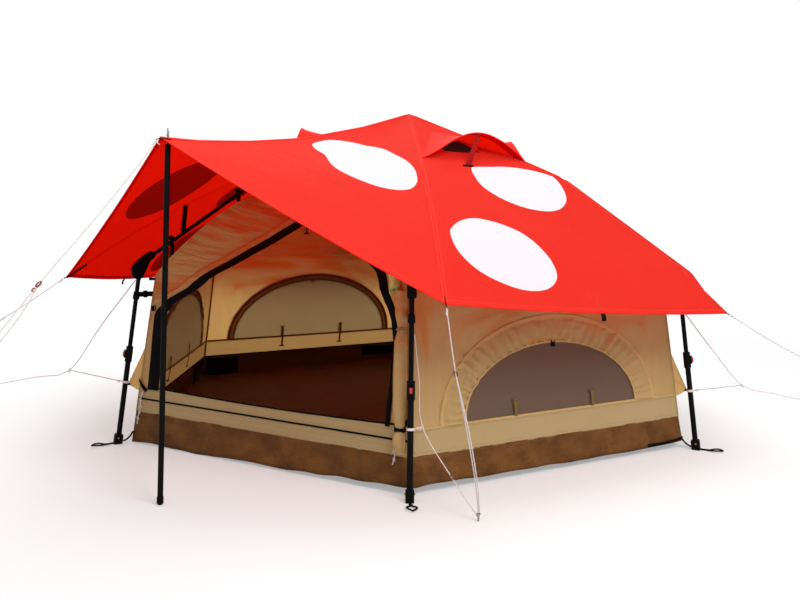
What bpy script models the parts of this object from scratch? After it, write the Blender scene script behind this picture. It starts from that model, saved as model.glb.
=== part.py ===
"""Instant tent with a six-legged folding frame, a hexagonal inner tent and a fly with a porch.

Metres, +Z up, the door faces -Y. The origin is on the ground under the hub.
Each leg, its two roof poles and their joints stand in one upright plane, here called a chain:
in it x runs outwards from the hub's axis, y is sideways and z is up.
"""

import bmesh
import bpy
from math import atan2, cos, degrees, hypot, pi, radians, sin, tan
from mathutils import Matrix, Vector

# Plan of the tent
CHAINS = {
    "right": 0.0,
    "back_right": 60.0,
    "back_left": 120.0,
    "left": 180.0,
    "front_left": 240.0,
    "front_right": 300.0,
}
HALF_STEP = radians(30)
ACROSS = cos(HALF_STEP)
RUNNING_GAP = 0.0003

# Hub
HUB_PIN_RADIUS = 0.085
HUB_PIN_HEIGHT = 1.800
HUB_RADIUS = 0.101
HUB_BELOW_PIN = 0.016
HUB_ABOVE_PIN = 0.026
HUB_CAP_RADIUS = 0.055
HUB_CAP_RIM = 0.030
HUB_CAP_HEIGHT = 0.0722
SEAT_GAP = 0.0003

# Roof poles and legs: lengths run from pin to pin, slopes are below the horizontal
UPPER_POLE_LENGTH = 1.030
UPPER_POLE_SLOPE = radians(20.5)
LOWER_POLE_LENGTH = 0.790
LOWER_POLE_SLOPE = radians(34.5)
LEG_SLOPE = radians(81.8)
POLE_RADIUS = 0.011
SOCKET_WALL = 0.0025
SOCKET_LENGTH = 0.048
KNEE_OFFSET = 0.016
ELBOW_OFFSET = 0.018

# Forks, tongues and pins of the hinges
PIN_RADIUS = 0.004
PIN_CLEARANCE = 0.0005
TONGUE_RADIUS = 0.009
TONGUE_HALF_WIDTH = 0.0065
FORK_HALF_GAP = 0.0075
FORK_HALF_WIDTH = 0.013
CHEEK_RADIUS = 0.012
SOCKET_START = 0.014
WEB_START = 0.0132
FORK_LENGTH = 0.046
TUBE_START = 0.030

# Telescopic leg
LEG_INNER_RADIUS = 0.012
LEG_OUTER_RADIUS = 0.0145
LEG_BORE_CLEARANCE = 0.0006
COLLAR_RADIUS = 0.018
COLLAR_AT = 0.1732
COLLAR_LENGTH = 0.026
LOCK_TOP_AT = 0.4480
LOCK_LENGTH = 0.086
LOCK_RADIUS = 0.0195
LEG_OVERLAP = 0.130
LOCK_STOP_GAP = 0.006
FOOT_HEIGHT = 0.056
FOOT_WIDTH = 0.040
FOOT_DEPTH = 0.044

# Push button in the lock
BUTTON_LENGTH = 0.026
BUTTON_WIDTH = 0.013
BUTTON_CLEARANCE = 0.0005
BUTTON_TRAVEL = 0.004
BUTTON_PROUD = 0.006
BOSS_LENGTH = 0.044
BOSS_WIDTH = 0.024
BOSS_REACH = 0.0275
POCKET_FLOOR = 0.0150

# Inner tent: corner radius at the ground and at the eaves, and the roof over them
CLOTH = 0.0012
BASE_INSIDE_FEET = 0.0764
EAVE_INSET = 0.150
EAVE_HEIGHT = 0.930
SKIRT_HEIGHT = 0.175
SEAM_GAP = 0.0005
ROOF_KNEE_RADIUS = 1.015
ROOF_HANG = 0.067
ROOF_TOP_RADIUS = 0.110
ROOF_TOP_DROP = 0.041

# Doorway in the front wall and roof
DOOR_SHARE = 0.452
DOOR_SILL = 0.315
DOOR_SHOULDER_DROP = 0.080
DOOR_PEAK_RISE = 0.320

# Rolled door panel
DOOR_ROLL_RADIUS = 0.036
DOOR_ROLL_LEAN = 0.035
DOOR_ROLL_BOTTOM = 0.120
DOOR_ROLL_TOP = 0.830

# Fly: its ribs as radius and height over the poles' line, its six corners, and its porch ridge
# as distance out and drop below the peak
FLY_RIB_LIFT = ((0.515, 0.066), (1.030, 0.053), (1.385, 0.030), (1.740, 0.042))
# The porch's guys hold its two ribs nearly straight from the knee out to their corners
PORCH_RIBS = ("front_left", "front_right")
PORCH_RIB_CROWN = 0.038
FLY_CORNERS = {
    "right": (1.995, -0.130, 0.785),
    "back_right": (1.000, 1.732, 0.785),
    "back_left": (-1.000, 1.732, 0.785),
    "left": (-1.995, -0.130, 0.785),
    "front_left": (-1.067, -1.792, 0.930),
    "front_right": (1.158, -1.736, 0.925),
}
PORCH_RIDGE_DROP = ((0.550, 0.125), (1.140, 0.228), (1.570, 0.272), (1.930, 0.293))
PORCH_TIP_OUT = 2.170
PORCH_TIP_SEAT = 0.006
PANEL_SAG = 0.018
PANEL_STRIPS = 4

# Vent hoods on the fly
HOOD_HALF_WIDTH = 0.340
HOOD_MOUTH = 0.700
HOOD_BACK = 0.260
HOOD_RISE = 0.155
HOOD_SEAM = 0.004
VENT_MARGIN = 0.050
VENT_HALF_WIDTH = 0.220
HOOD_PANELS = {"right_front": 330.0, "right_back": 30.0, "back": 90.0, "left_back": 150.0,
               "left_front": 210.0}

# Webbing tabs on the fly's corners and tip, which its lines come from
TAB_LENGTH = 0.022
TAB_WIDTH = 0.016
TAB_THICKNESS = 0.003

# Porch pole
PORCH_POLE_RADIUS = 0.013
PORCH_POLE_OUT = 2.210
PORCH_POLE_LEAN = 0.085
PORCH_POLE_HEIGHT = 1.600
PORCH_POLE_SPLIT = 0.52
PORCH_SPIGOT_RADIUS = 0.0100
PORCH_SPIGOT_LENGTH = 0.070
PORCH_TIP_PIN_RADIUS = 0.004
PORCH_TIP_PIN_LENGTH = 0.045
PORCH_CAP_RADIUS = 0.0155
PORCH_CAP_LENGTH = 0.035
PORCH_CAP_TIP_RADIUS = 0.009
GROMMET_CLEARANCE = 0.0005

# Guy lines and the peg that two of them share
LINE_RADIUS = 0.002
PEG_PLACE = (1.290, -1.658)
PEG_RADIUS = 0.0045
PEG_HEIGHT = 0.034
PEG_HEAD_RADIUS = 0.0085
FLY_GUYS = {
    "guy_tip": ("tip", [(0.0, -2.480, 1.310), (0.0, -2.806, 1.021), (0.0, -3.020, 0.820)]),
    "guy_front_left_fly": ("front_left", [(-1.145, -1.928, 0.824), (-1.207, -2.090, 0.721)]),
    "guy_front_right_fly": ("front_right", [
        (1.197, -1.713, 0.632), (1.240, -1.689, 0.400), (1.277, -1.666, 0.160),
        (PEG_PLACE[0] - 0.001, PEG_PLACE[1], PEG_HEIGHT + 0.0006),
    ]),
    "guy_right_fly": ("right", [(2.180, -0.100, 0.670), (2.343, -0.065, 0.582), (2.400, -0.052, 0.552)]),
}
LEG_GUYS = {
    "guy_front_left_leg": ("front_left", 0.900, 0.342, [
        (-0.960, -1.663, 0.661), (-1.044, -1.808, 0.432), (-1.130, -1.957, 0.409),
        (-1.240, -2.148, 0.384),
    ]),
    "guy_front_right_leg": ("front_right", 0.745, 0.322, [
        (0.918, -1.516, 0.540), (0.940, -1.520, 0.331), (1.130, -1.595, 0.145),
        (PEG_PLACE[0] - 0.00555, PEG_PLACE[1] + 0.00227, 0.018),
    ]),
    "guy_right_leg": ("right", 0.750, 0.326, [
        (1.910, 0.0, 0.560), (2.068, 0.0, 0.386), (2.220, 0.0, 0.360), (2.414, 0.0, 0.337),
    ]),
    "guy_left_leg": ("left", 0.750, 0.326, [(-1.950, 0.0, 0.560), (-2.150, 0.0, 0.390)]),
    "guy_back_right_leg": ("back_right", 0.750, 0.326, [(0.960, 1.663, 0.560), (1.060, 1.836, 0.390)]),
}

PARTS = "instant_tent"
TOOLS = "cutters"
ROUND = 12

BLACK_PAINT = ("black_painted_tube", (0.012, 0.012, 0.013), 0.42, 0.0)
BLACK_PLASTIC = ("black_moulded_plastic", (0.014, 0.014, 0.015), 0.55, 0.0)
RED_PLASTIC = ("red_button_plastic", (0.80, 0.07, 0.03), 0.45, 0.0)
RED_CLOTH = ("red_fly_cloth", (0.85, 0.03, 0.015), 0.80, 0.0)
TAN_CLOTH = ("tan_wall_cloth", (0.48, 0.35, 0.16), 0.85, 0.0)
BROWN_CLOTH = ("brown_floor_cloth", (0.19, 0.08, 0.028), 0.80, 0.0)
STEEL = ("bright_steel", (0.60, 0.60, 0.60), 0.35, 1.0)
PALE_CORD = ("pale_cord", (0.80, 0.74, 0.76), 0.85, 0.0)


def start_clean():
    for old in list(bpy.data.objects):
        bpy.data.objects.remove(old, do_unlink=True)


def collection(name):
    made = bpy.data.collections.new(name)
    bpy.context.scene.collection.children.link(made)
    return made


def material(look):
    name, colour, roughness, metallic = look
    found = bpy.data.materials.get(name)
    if found:
        return found
    made = bpy.data.materials.new(name)
    made.use_nodes = True
    shader = made.node_tree.nodes["Principled BSDF"]
    shader.inputs["Base Color"].default_value = (*colour, 1.0)
    shader.inputs["Roughness"].default_value = roughness
    shader.inputs["Metallic"].default_value = metallic
    made.diffuse_color = (*colour, 1.0)
    return made


def add(name, data, group=PARTS):
    made = bpy.data.objects.new(name, data)
    bpy.data.collections[group].objects.link(made)
    return made


def mesh_of(name, bm):
    mesh = bpy.data.meshes.new(name)
    bmesh.ops.recalc_face_normals(bm, faces=bm.faces)
    bm.to_mesh(mesh)
    bm.free()
    return mesh


def along(a, b):
    """The matrix that puts a piece's own +Z on the line from a to b, and its origin half way."""
    a, b = Vector(a), Vector(b)
    turn = (b - a).to_track_quat("Z", "Y").to_matrix().to_4x4()
    return Matrix.Translation((a + b) / 2) @ turn


def rod(name, a, b, radius, top_radius=None, sides=ROUND):
    """A round bar from a to b as a mesh, on the cutters' side until it is joined or placed."""
    bm = bmesh.new()
    length = (Vector(b) - Vector(a)).length
    top = radius if top_radius is None else top_radius
    bmesh.ops.create_cone(bm, segments=sides, cap_ends=True, radius1=radius, radius2=top,
                          depth=length, matrix=along(a, b))
    return add(name, mesh_of(name, bm), TOOLS)


def block(name, low, high, bevel=0.0):
    """A box between two corners, with its edges rounded in one step."""
    low, high = Vector(low), Vector(high)
    size = high - low
    bm = bmesh.new()
    place = Matrix.Translation((low + high) / 2) @ Matrix.Diagonal((*size, 1.0))
    bmesh.ops.create_cube(bm, size=1.0, matrix=place)
    if bevel:
        bmesh.ops.bevel(bm, geom=bm.edges[:], offset=bevel, segments=1, affect="EDGES")
    return add(name, mesh_of(name, bm), TOOLS)


def plate(name, outline, thickness):
    """A flat outline in the x-z plane, thickened evenly to both sides in y, as a mesh."""
    curve = bpy.data.curves.new(name, "CURVE")
    curve.dimensions = "2D"
    curve.fill_mode = "BOTH"
    curve.extrude = thickness / 2
    spline = curve.splines.new("POLY")
    spline.points.add(len(outline) - 1)
    for point, (x, z) in zip(spline.points, outline):
        point.co = (x, z, 0.0, 1.0)
    spline.use_cyclic_u = True
    flat = add(name + "_outline", curve, TOOLS)
    flat.matrix_world = Matrix.Rotation(pi / 2, 4, "X")
    return solid_from(flat, name)


def solid_from(source, name):
    """The evaluated shape of an object as a closed mesh object with its place in its mesh."""
    bpy.context.view_layer.update()
    seen = source.evaluated_get(bpy.context.evaluated_depsgraph_get())
    mesh = bpy.data.meshes.new_from_object(seen)
    bm = bmesh.new()
    bm.from_mesh(mesh)
    bmesh.ops.remove_doubles(bm, verts=bm.verts, dist=1e-6)
    bmesh.ops.transform(bm, matrix=source.matrix_world, verts=bm.verts)
    bmesh.ops.recalc_face_normals(bm, faces=bm.faces)
    bm.to_mesh(mesh)
    bm.free()
    bpy.data.objects.remove(source, do_unlink=True)
    return add(name, mesh, TOOLS)


def combine(base, pieces, operation):
    """Joins pieces to the base, or cuts them out of it, and keeps the result as the base's mesh."""
    for number, piece in enumerate(pieces):
        step = base.modifiers.new(f"{operation.lower()}_{number}", "BOOLEAN")
        step.operation = operation
        step.solver = "EXACT"
        step.object = piece
    name = base.name
    base.name = name + "_before"
    done = solid_from(base, name)
    for piece in pieces:
        bpy.data.objects.remove(piece, do_unlink=True)
    return done


def join(base, *pieces):
    return combine(base, pieces, "UNION")


def cut(base, *pieces):
    return combine(base, pieces, "DIFFERENCE")


def arc(radius, start, end, steps, centre=(0.0, 0.0)):
    """Points on an arc, from the start angle to the end angle in degrees."""
    points = []
    for number in range(steps + 1):
        turn = radians(start + (end - start) * number / steps)
        points.append((centre[0] + radius * cos(turn), centre[1] + radius * sin(turn)))
    return points


def tongue_outline(offset, half_height):
    """The flat end that fits in a fork: x runs from the pin along its pole, z towards the pole."""
    low = 0.003
    start = degrees(atan2(low, TONGUE_RADIUS))
    return [
        (TUBE_START, low),
        *arc(TONGUE_RADIUS, start, start - 265, 12),
        (SOCKET_START, offset + half_height),
        (TUBE_START, offset + half_height),
    ]


def fork_outline(offset, other_radius, stop_turn, crown=()):
    """The cheeks of a fork, out to the face that its neighbour's socket meets when straight."""
    reach = SOCKET_START - RUNNING_GAP
    t = radians(stop_turn)
    near = offset - other_radius + 0.001
    far = offset + other_radius - 0.002
    face = [
        (reach * cos(t) + m * sin(t), reach * sin(t) - m * cos(t))
        for m in (far, near)
    ]
    turn = degrees(atan2(face[1][1], face[1][0])) % 360
    return [
        (FORK_LENGTH, -0.0015),
        (FORK_LENGTH, offset + POLE_RADIUS),
        *crown,
        *face,
        *arc(CHEEK_RADIUS, turn + 6, 350, 10),
    ]


def fork(name, offset, other_radius, stop_turn, crown=()):
    """Two cheeks, their web and the pin across them. The pin is the origin, its pole lies at +x."""
    shape = plate(name, fork_outline(offset, other_radius, stop_turn, crown), 2 * FORK_HALF_WIDTH)
    slot = block("slot", (-0.12, -FORK_HALF_GAP, -0.12), (WEB_START, FORK_HALF_GAP, 0.12))
    shape = cut(shape, slot)
    pin = rod("pin", (0, -FORK_HALF_WIDTH, 0), (0, FORK_HALF_WIDTH, 0), PIN_RADIUS)
    return join(shape, pin)


def tongue(name, offset, half_height):
    """The tongue with its pin hole, the origin in the hole and its pole at +x."""
    shape = plate(name, tongue_outline(offset, half_height), 2 * TONGUE_HALF_WIDTH)
    side = TONGUE_HALF_WIDTH + 0.001
    hole = rod("hole", (0, -side, 0), (0, side, 0), PIN_RADIUS + PIN_CLEARANCE)
    return cut(shape, hole)


def moved(piece, matrix):
    piece.data.transform(matrix)
    if matrix.determinant() < 0:
        piece.data.flip_normals()
    return piece


def chain_direction(slope):
    """Along a pole that falls outwards at this slope, and square to it on its upper side."""
    return Vector((cos(slope), 0, -sin(slope))), Vector((sin(slope), 0, cos(slope)))


HUB_PIN = Vector((HUB_PIN_RADIUS, 0, HUB_PIN_HEIGHT))
UPPER_RUN, UPPER_UP = chain_direction(UPPER_POLE_SLOPE)
LOWER_RUN, LOWER_UP = chain_direction(LOWER_POLE_SLOPE)
LEG_RUN, LEG_OUT = chain_direction(LEG_SLOPE)
KNEE_PIN = HUB_PIN + UPPER_RUN * UPPER_POLE_LENGTH + UPPER_UP * KNEE_OFFSET
ELBOW_PIN = (KNEE_PIN - LOWER_UP * KNEE_OFFSET + LOWER_RUN * LOWER_POLE_LENGTH
             - LOWER_UP * ELBOW_OFFSET)
KNEE_STOP_TURN = 180 - degrees(LOWER_POLE_SLOPE - UPPER_POLE_SLOPE)
ELBOW_STOP_TURN = 180 + degrees(LEG_SLOPE - LOWER_POLE_SLOPE)
SOCKET_RADIUS = POLE_RADIUS + SOCKET_WALL


def leg_distance(height):
    """How far down the leg from its pin a height above the ground lies, on the leg's axis."""
    start = ELBOW_PIN + LEG_OUT * ELBOW_OFFSET
    return (start.z - height) / sin(LEG_SLOPE)


LEG_TOTAL = leg_distance(0.0)
FLY_PEAK = HUB_PIN_HEIGHT + HUB_ABOVE_PIN + HUB_CAP_HEIGHT + CLOTH + SEAT_GAP
PORCH_POLE_FOOT = Vector((0, -PORCH_POLE_OUT, 0))
PORCH_POLE_TOP = Vector((0, PORCH_POLE_LEAN - PORCH_POLE_OUT, PORCH_POLE_HEIGHT))
PORCH_TIP = Vector((0, -PORCH_TIP_OUT, PORCH_POLE_HEIGHT + PORCH_TIP_SEAT))
BASE_RADIUS = (ELBOW_PIN + LEG_OUT * ELBOW_OFFSET + LEG_RUN * LEG_TOTAL).x - BASE_INSIDE_FEET
EAVE_RADIUS = BASE_RADIUS - EAVE_INSET
DOOR_HALF_WIDTH = DOOR_SHARE * BASE_RADIUS
DOOR_SHOULDER = EAVE_HEIGHT - DOOR_SHOULDER_DROP
DOOR_PEAK = EAVE_HEIGHT + DOOR_PEAK_RISE


def pole_line(radius):
    """The height of the poles' centre line over the ground, this far out from the hub's axis."""
    if radius < KNEE_PIN.x:
        return HUB_PIN.z - (radius - HUB_PIN.x) * tan(UPPER_POLE_SLOPE)
    start = KNEE_PIN - LOWER_UP * KNEE_OFFSET
    return start.z - (radius - start.x) * tan(LOWER_POLE_SLOPE)


FLY_RIB = [(radius, pole_line(radius) + lift) for radius, lift in FLY_RIB_LIFT]
LOWER_TUBE_END = LEG_TOTAL - FOOT_HEIGHT
LEG_TRAVEL = LOCK_TOP_AT - COLLAR_AT - COLLAR_LENGTH / 2 - LOCK_STOP_GAP


def upper_pole():
    """From the hub's pin, the origin, to the knee's fork."""
    half = POLE_RADIUS - 0.002
    shape = plate("upper_pole", [
        (TUBE_START + 0.006, -half),
        *arc(TONGUE_RADIUS, 270, 90, 8),
        (TUBE_START + 0.006, half),
    ], 2 * TONGUE_HALF_WIDTH)
    side = TONGUE_HALF_WIDTH + 0.001
    shape = cut(shape, rod("hole", (0, -side, 0), (0, side, 0), PIN_RADIUS + PIN_CLEARANCE))
    end = UPPER_POLE_LENGTH - SOCKET_START
    first = rod("first_socket", (TUBE_START, 0, 0), (TUBE_START + SOCKET_LENGTH, 0, 0), SOCKET_RADIUS)
    tube = rod("tube", (TUBE_START + 0.01, 0, 0), (end - 0.01, 0, 0), POLE_RADIUS)
    last = rod("last_socket", (end - SOCKET_LENGTH, 0, 0), (end, 0, 0), SOCKET_RADIUS)
    knee = fork("knee_fork", KNEE_OFFSET, SOCKET_RADIUS, KNEE_STOP_TURN)
    moved(knee, Matrix.Translation((UPPER_POLE_LENGTH, 0, KNEE_OFFSET)) @ Matrix.Rotation(pi, 4, "Y"))
    return join(shape, first, tube, last, knee)


def lower_pole():
    """From the knee's pin, the origin, to the elbow's tongue."""
    knee = moved(tongue("lower_pole", KNEE_OFFSET, POLE_RADIUS - 0.002), Matrix.Scale(-1, 4, (0, 0, 1)))
    elbow = tongue("elbow_tongue", ELBOW_OFFSET, POLE_RADIUS - 0.002)
    moved(elbow, Matrix.Translation((LOWER_POLE_LENGTH, 0, -KNEE_OFFSET - ELBOW_OFFSET))
          @ Matrix.Scale(-1, 4, (1, 0, 0)))
    z = -KNEE_OFFSET
    near = SOCKET_START
    far = LOWER_POLE_LENGTH - SOCKET_START
    first = rod("first_socket", (near, 0, z), (near + SOCKET_LENGTH, 0, z), SOCKET_RADIUS)
    tube = rod("tube", (near + 0.01, 0, z), (far - 0.01, 0, z), POLE_RADIUS)
    last = rod("last_socket", (far - SOCKET_LENGTH, 0, z), (far, 0, z), SOCKET_RADIUS)
    return join(knee, first, tube, last, elbow)


def leg_upper():
    """From the elbow's pin, the origin, down to the tube's end inside the lower leg."""
    z = ELBOW_OFFSET
    crown = [(0.004, 0.038), (-0.016, 0.035)]
    shape = fork("leg_upper", ELBOW_OFFSET, SOCKET_RADIUS, ELBOW_STOP_TURN, crown)
    socket = rod("socket", (SOCKET_START, 0, z), (SOCKET_START + 0.062, 0, z), LEG_INNER_RADIUS + 0.003)
    tube = rod("tube", (TUBE_START, 0, z), (LOCK_TOP_AT + LEG_OVERLAP, 0, z), LEG_INNER_RADIUS)
    half = COLLAR_LENGTH / 2
    collar = rod("collar", (COLLAR_AT - half, 0, z), (COLLAR_AT + half, 0, z), COLLAR_RADIUS)
    return join(shape, socket, tube, collar)


def leg_lower():
    """The outer tube with its lock housing and the button's pocket. Same frame as leg_upper."""
    z = ELBOW_OFFSET
    top = LOCK_TOP_AT
    middle = top + LOCK_LENGTH / 2
    shape = rod("leg_lower", (top + 0.01, 0, z), (LOWER_TUBE_END, 0, z), LEG_OUTER_RADIUS)
    housing = rod("housing", (top, 0, z), (top + LOCK_LENGTH, 0, z), LOCK_RADIUS)
    boss = block("boss", (middle - BOSS_LENGTH / 2, -BOSS_WIDTH / 2, z),
                 (middle + BOSS_LENGTH / 2, BOSS_WIDTH / 2, z + BOSS_REACH), 0.003)
    shape = join(shape, housing, boss)
    clearance = BUTTON_CLEARANCE
    pocket = block("pocket",
                   (middle - BUTTON_LENGTH / 2 - clearance, -BUTTON_WIDTH / 2 - clearance,
                    z + POCKET_FLOOR),
                   (middle + BUTTON_LENGTH / 2 + clearance, BUTTON_WIDTH / 2 + clearance,
                    z + BOSS_REACH + 0.01))
    bore = rod("bore", (top - 0.01, 0, z), (LOWER_TUBE_END - 0.012, 0, z),
               LEG_INNER_RADIUS + LEG_BORE_CLEARANCE)
    return cut(shape, pocket, bore)


def lock_button():
    """The button in its pocket. Same frame as leg_upper."""
    z = ELBOW_OFFSET
    middle = LOCK_TOP_AT + LOCK_LENGTH / 2
    bottom = z + POCKET_FLOOR + BUTTON_CLEARANCE + BUTTON_TRAVEL
    return block("lock_button", (middle - BUTTON_LENGTH / 2, -BUTTON_WIDTH / 2, bottom),
                 (middle + BUTTON_LENGTH / 2, BUTTON_WIDTH / 2, z + BOSS_REACH + BUTTON_PROUD), 0.0015)


def leg_foot():
    """The foot in the chain's own frame: a tilted block on the tube's end, flat on the ground."""
    leg = chain_frame(ELBOW_PIN, LEG_SLOPE)
    z = ELBOW_OFFSET
    top = LOWER_TUBE_END + RUNNING_GAP
    shape = block("leg_foot", (top, -FOOT_WIDTH / 2, z - FOOT_DEPTH / 2),
                  (LEG_TOTAL + 0.03, FOOT_WIDTH / 2, z + FOOT_DEPTH / 2), 0.005)
    half = FOOT_WIDTH / 2 + 0.0015
    pin = rod("foot_pin", (top + 0.020, -half, z), (top + 0.020, half, z), 0.005)
    shape = moved(join(shape, pin), leg)
    ground = block("ground", (0.0, -0.3, -0.3), (3.0, 0.3, 0.0))
    return cut(shape, ground)


def chain_frame(pin, slope):
    """The place of a piece whose own x runs down a pole from this pin."""
    return Matrix.Translation(pin) @ Matrix.Rotation(slope, 4, "Y")


def place_chains():
    """Six copies of each frame piece, each copy with its origin on its joint's pin."""
    pieces = {
        "roof_pole_upper": (upper_pole(), HUB_PIN, UPPER_POLE_SLOPE, BLACK_PAINT),
        "roof_pole_lower": (lower_pole(), KNEE_PIN, LOWER_POLE_SLOPE, BLACK_PAINT),
        "leg_upper": (leg_upper(), ELBOW_PIN, LEG_SLOPE, BLACK_PAINT),
        "leg_lower": (leg_lower(), ELBOW_PIN, LEG_SLOPE, BLACK_PAINT),
        "lock_button": (lock_button(), ELBOW_PIN, LEG_SLOPE, RED_PLASTIC),
        "leg_foot": (leg_foot(), Vector((0, 0, 0)), 0.0, BLACK_PLASTIC),
    }
    for chain, angle in CHAINS.items():
        empty = add("chain_" + chain, None)
        empty.rotation_euler = (0, 0, radians(angle))
        for piece, (master, pin, slope, look) in pieces.items():
            copy = add(f"{piece}_{chain}", master.data)
            copy.parent = empty
            copy.location = pin
            copy.rotation_euler = (0, slope, 0)
            if not copy.data.materials:
                copy.data.materials.append(material(look))
            smooth(copy)
    for master, *_ in pieces.values():
        bpy.data.objects.remove(master, do_unlink=True)


def smooth(piece):
    piece.data.shade_smooth()
    piece.data.set_sharp_from_angle(angle=radians(35))


def finished(piece, name, look):
    """Moves a joined shape from the cutters to the parts under its own name."""
    data = piece.data
    bpy.data.objects.remove(piece, do_unlink=True)
    made = add(name, data)
    made.data.materials.append(material(look))
    smooth(made)
    return made


def hub():
    """A thick disc with six slots, open outwards and down, and a pin across each."""
    low = HUB_PIN_HEIGHT - HUB_BELOW_PIN
    high = HUB_PIN_HEIGHT + HUB_ABOVE_PIN
    body = rod("hub", (0, 0, low), (0, 0, high), HUB_RADIUS, sides=24)
    slots = []
    pins = []
    for angle in CHAINS.values():
        turn = Matrix.Rotation(radians(angle), 4, "Z")
        slot = block("hub_slot", (HUB_PIN_RADIUS - WEB_START, -FORK_HALF_GAP, low - 0.01),
                     (HUB_RADIUS + 0.02, FORK_HALF_GAP, HUB_PIN_HEIGHT + WEB_START))
        slots.append(moved(slot, turn))
        pin = rod("hub_pin", (HUB_PIN_RADIUS, -FORK_HALF_WIDTH, HUB_PIN_HEIGHT),
                  (HUB_PIN_RADIUS, FORK_HALF_WIDTH, HUB_PIN_HEIGHT), PIN_RADIUS)
        pins.append(moved(pin, turn))
    body = join(cut(body, *slots), *pins)
    finished(body, "hub_body", BLACK_PLASTIC)


def hub_cap():
    """The cap on the hub that carries the fly's peak: a turned profile."""
    low = HUB_PIN_HEIGHT + HUB_ABOVE_PIN + RUNNING_GAP
    top = HUB_PIN_HEIGHT + HUB_ABOVE_PIN + HUB_CAP_HEIGHT
    radius = HUB_CAP_RADIUS
    outline = [
        (0.0, low),
        (radius, low),
        (radius, low + HUB_CAP_RIM),
        (0.9 * radius, top - 0.52 * radius),
        (0.7 * radius, top - 0.37 * radius),
        (0.25 * radius, top - 0.13 * radius),
        (0.0, top),
    ]
    bm = bmesh.new()
    verts = [bm.verts.new((x, 0, z)) for x, z in outline]
    edges = [bm.edges.new(pair) for pair in zip(verts[:-1], verts[1:])]
    bmesh.ops.spin(bm, geom=verts + edges, cent=(0, 0, 0), axis=(0, 0, 1),
                   angle=2 * pi, steps=16, use_merge=True)
    bmesh.ops.remove_doubles(bm, verts=bm.verts, dist=1e-5)
    cap = add("hub_cap_turned", mesh_of("hub_cap", bm), TOOLS)
    finished(cap, "hub_cap", BLACK_PLASTIC)


def rib_points(chain):
    """The fly's rib over one chain, from the first break under the peak to its guyed corner."""
    angle = radians(CHAINS[chain])
    points = [Vector((r * cos(angle), r * sin(angle), z)) for r, z in FLY_RIB]
    corner = Vector(FLY_CORNERS[chain])
    if chain in PORCH_RIBS:
        knee = points[1]
        crown = Vector((0, 0, PORCH_RIB_CROWN))
        points[2:] = [knee.lerp(corner, share) + crown for share in (1 / 3, 2 / 3)]
    return points + [corner]


def ridge_points():
    """The porch's ridge from the first break under the peak to its tip."""
    points = [Vector((0, -out, FLY_PEAK - drop)) for out, drop in PORCH_RIDGE_DROP]
    return points + [PORCH_TIP]


def fly_sheet():
    """The fly as an open surface: five panels between ribs, and two from ribs to the ridge."""
    bm = bmesh.new()
    peak = bm.verts.new((0, 0, FLY_PEAK))
    names = list(CHAINS)
    lines = {name: [bm.verts.new(p) for p in rib_points(name)] for name in names}
    lines["ridge"] = [bm.verts.new(p) for p in ridge_points()]
    pairs = list(zip(names[:-1], names[1:])) + [("front_right", "right")]
    pairs = [pair for pair in pairs if pair != ("front_left", "front_right")]
    pairs += [("front_left", "ridge"), ("ridge", "front_right")]
    for left, right in pairs:
        fill_panel(bm, peak, lines[left], lines[right])
    return add("fly_surface", mesh_of("fly", bm), TOOLS)


def fill_panel(bm, peak, left, right):
    """Rows of quads between two lines, drawn in a little half way across as stretched cloth is."""
    rows = []
    for a, b in zip(left, right):
        row = [a]
        for number in range(1, PANEL_STRIPS):
            share = number / PANEL_STRIPS
            point = a.co.lerp(b.co, share)
            point.z -= PANEL_SAG * 4 * share * (1 - share)
            row.append(bm.verts.new(point))
        rows.append(row + [b])
    for first, second in zip(rows[0][:-1], rows[0][1:]):
        bm.faces.new((peak, first, second))
    for upper, lower in zip(rows[:-1], rows[1:]):
        for number in range(PANEL_STRIPS):
            bm.faces.new((upper[number], lower[number], lower[number + 1], upper[number + 1]))


def thicken(sheet, name, thickness):
    """Gives an open surface its thickness, downwards or inwards from its outer face."""
    flat_faces = sheet.modifiers.new("flat_faces", "TRIANGULATE")
    flat_faces.min_vertices = 4
    wall = sheet.modifiers.new("cloth", "SOLIDIFY")
    wall.thickness = thickness
    wall.offset = -1.0
    wall.use_even_offset = False
    flat_rims = sheet.modifiers.new("flat_rims", "TRIANGULATE")
    flat_rims.min_vertices = 4
    return solid_from(sheet, name)


def panel_height(out, across=0.0):
    """The fly's height over a side panel: out from the hub's axis, and across from its middle."""
    inner, outer = FLY_RIB[0], FLY_RIB[1]
    radius = out / ACROSS
    share = 2 * across / radius
    sag = PANEL_SAG * (1 - share * share)
    if radius < inner[0]:
        part = radius / inner[0]
        return FLY_PEAK + part * (inner[1] - FLY_PEAK) - sag * part
    part = (radius - inner[0]) / (outer[0] - inner[0])
    return inner[1] + part * (outer[1] - inner[1]) - sag


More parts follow.
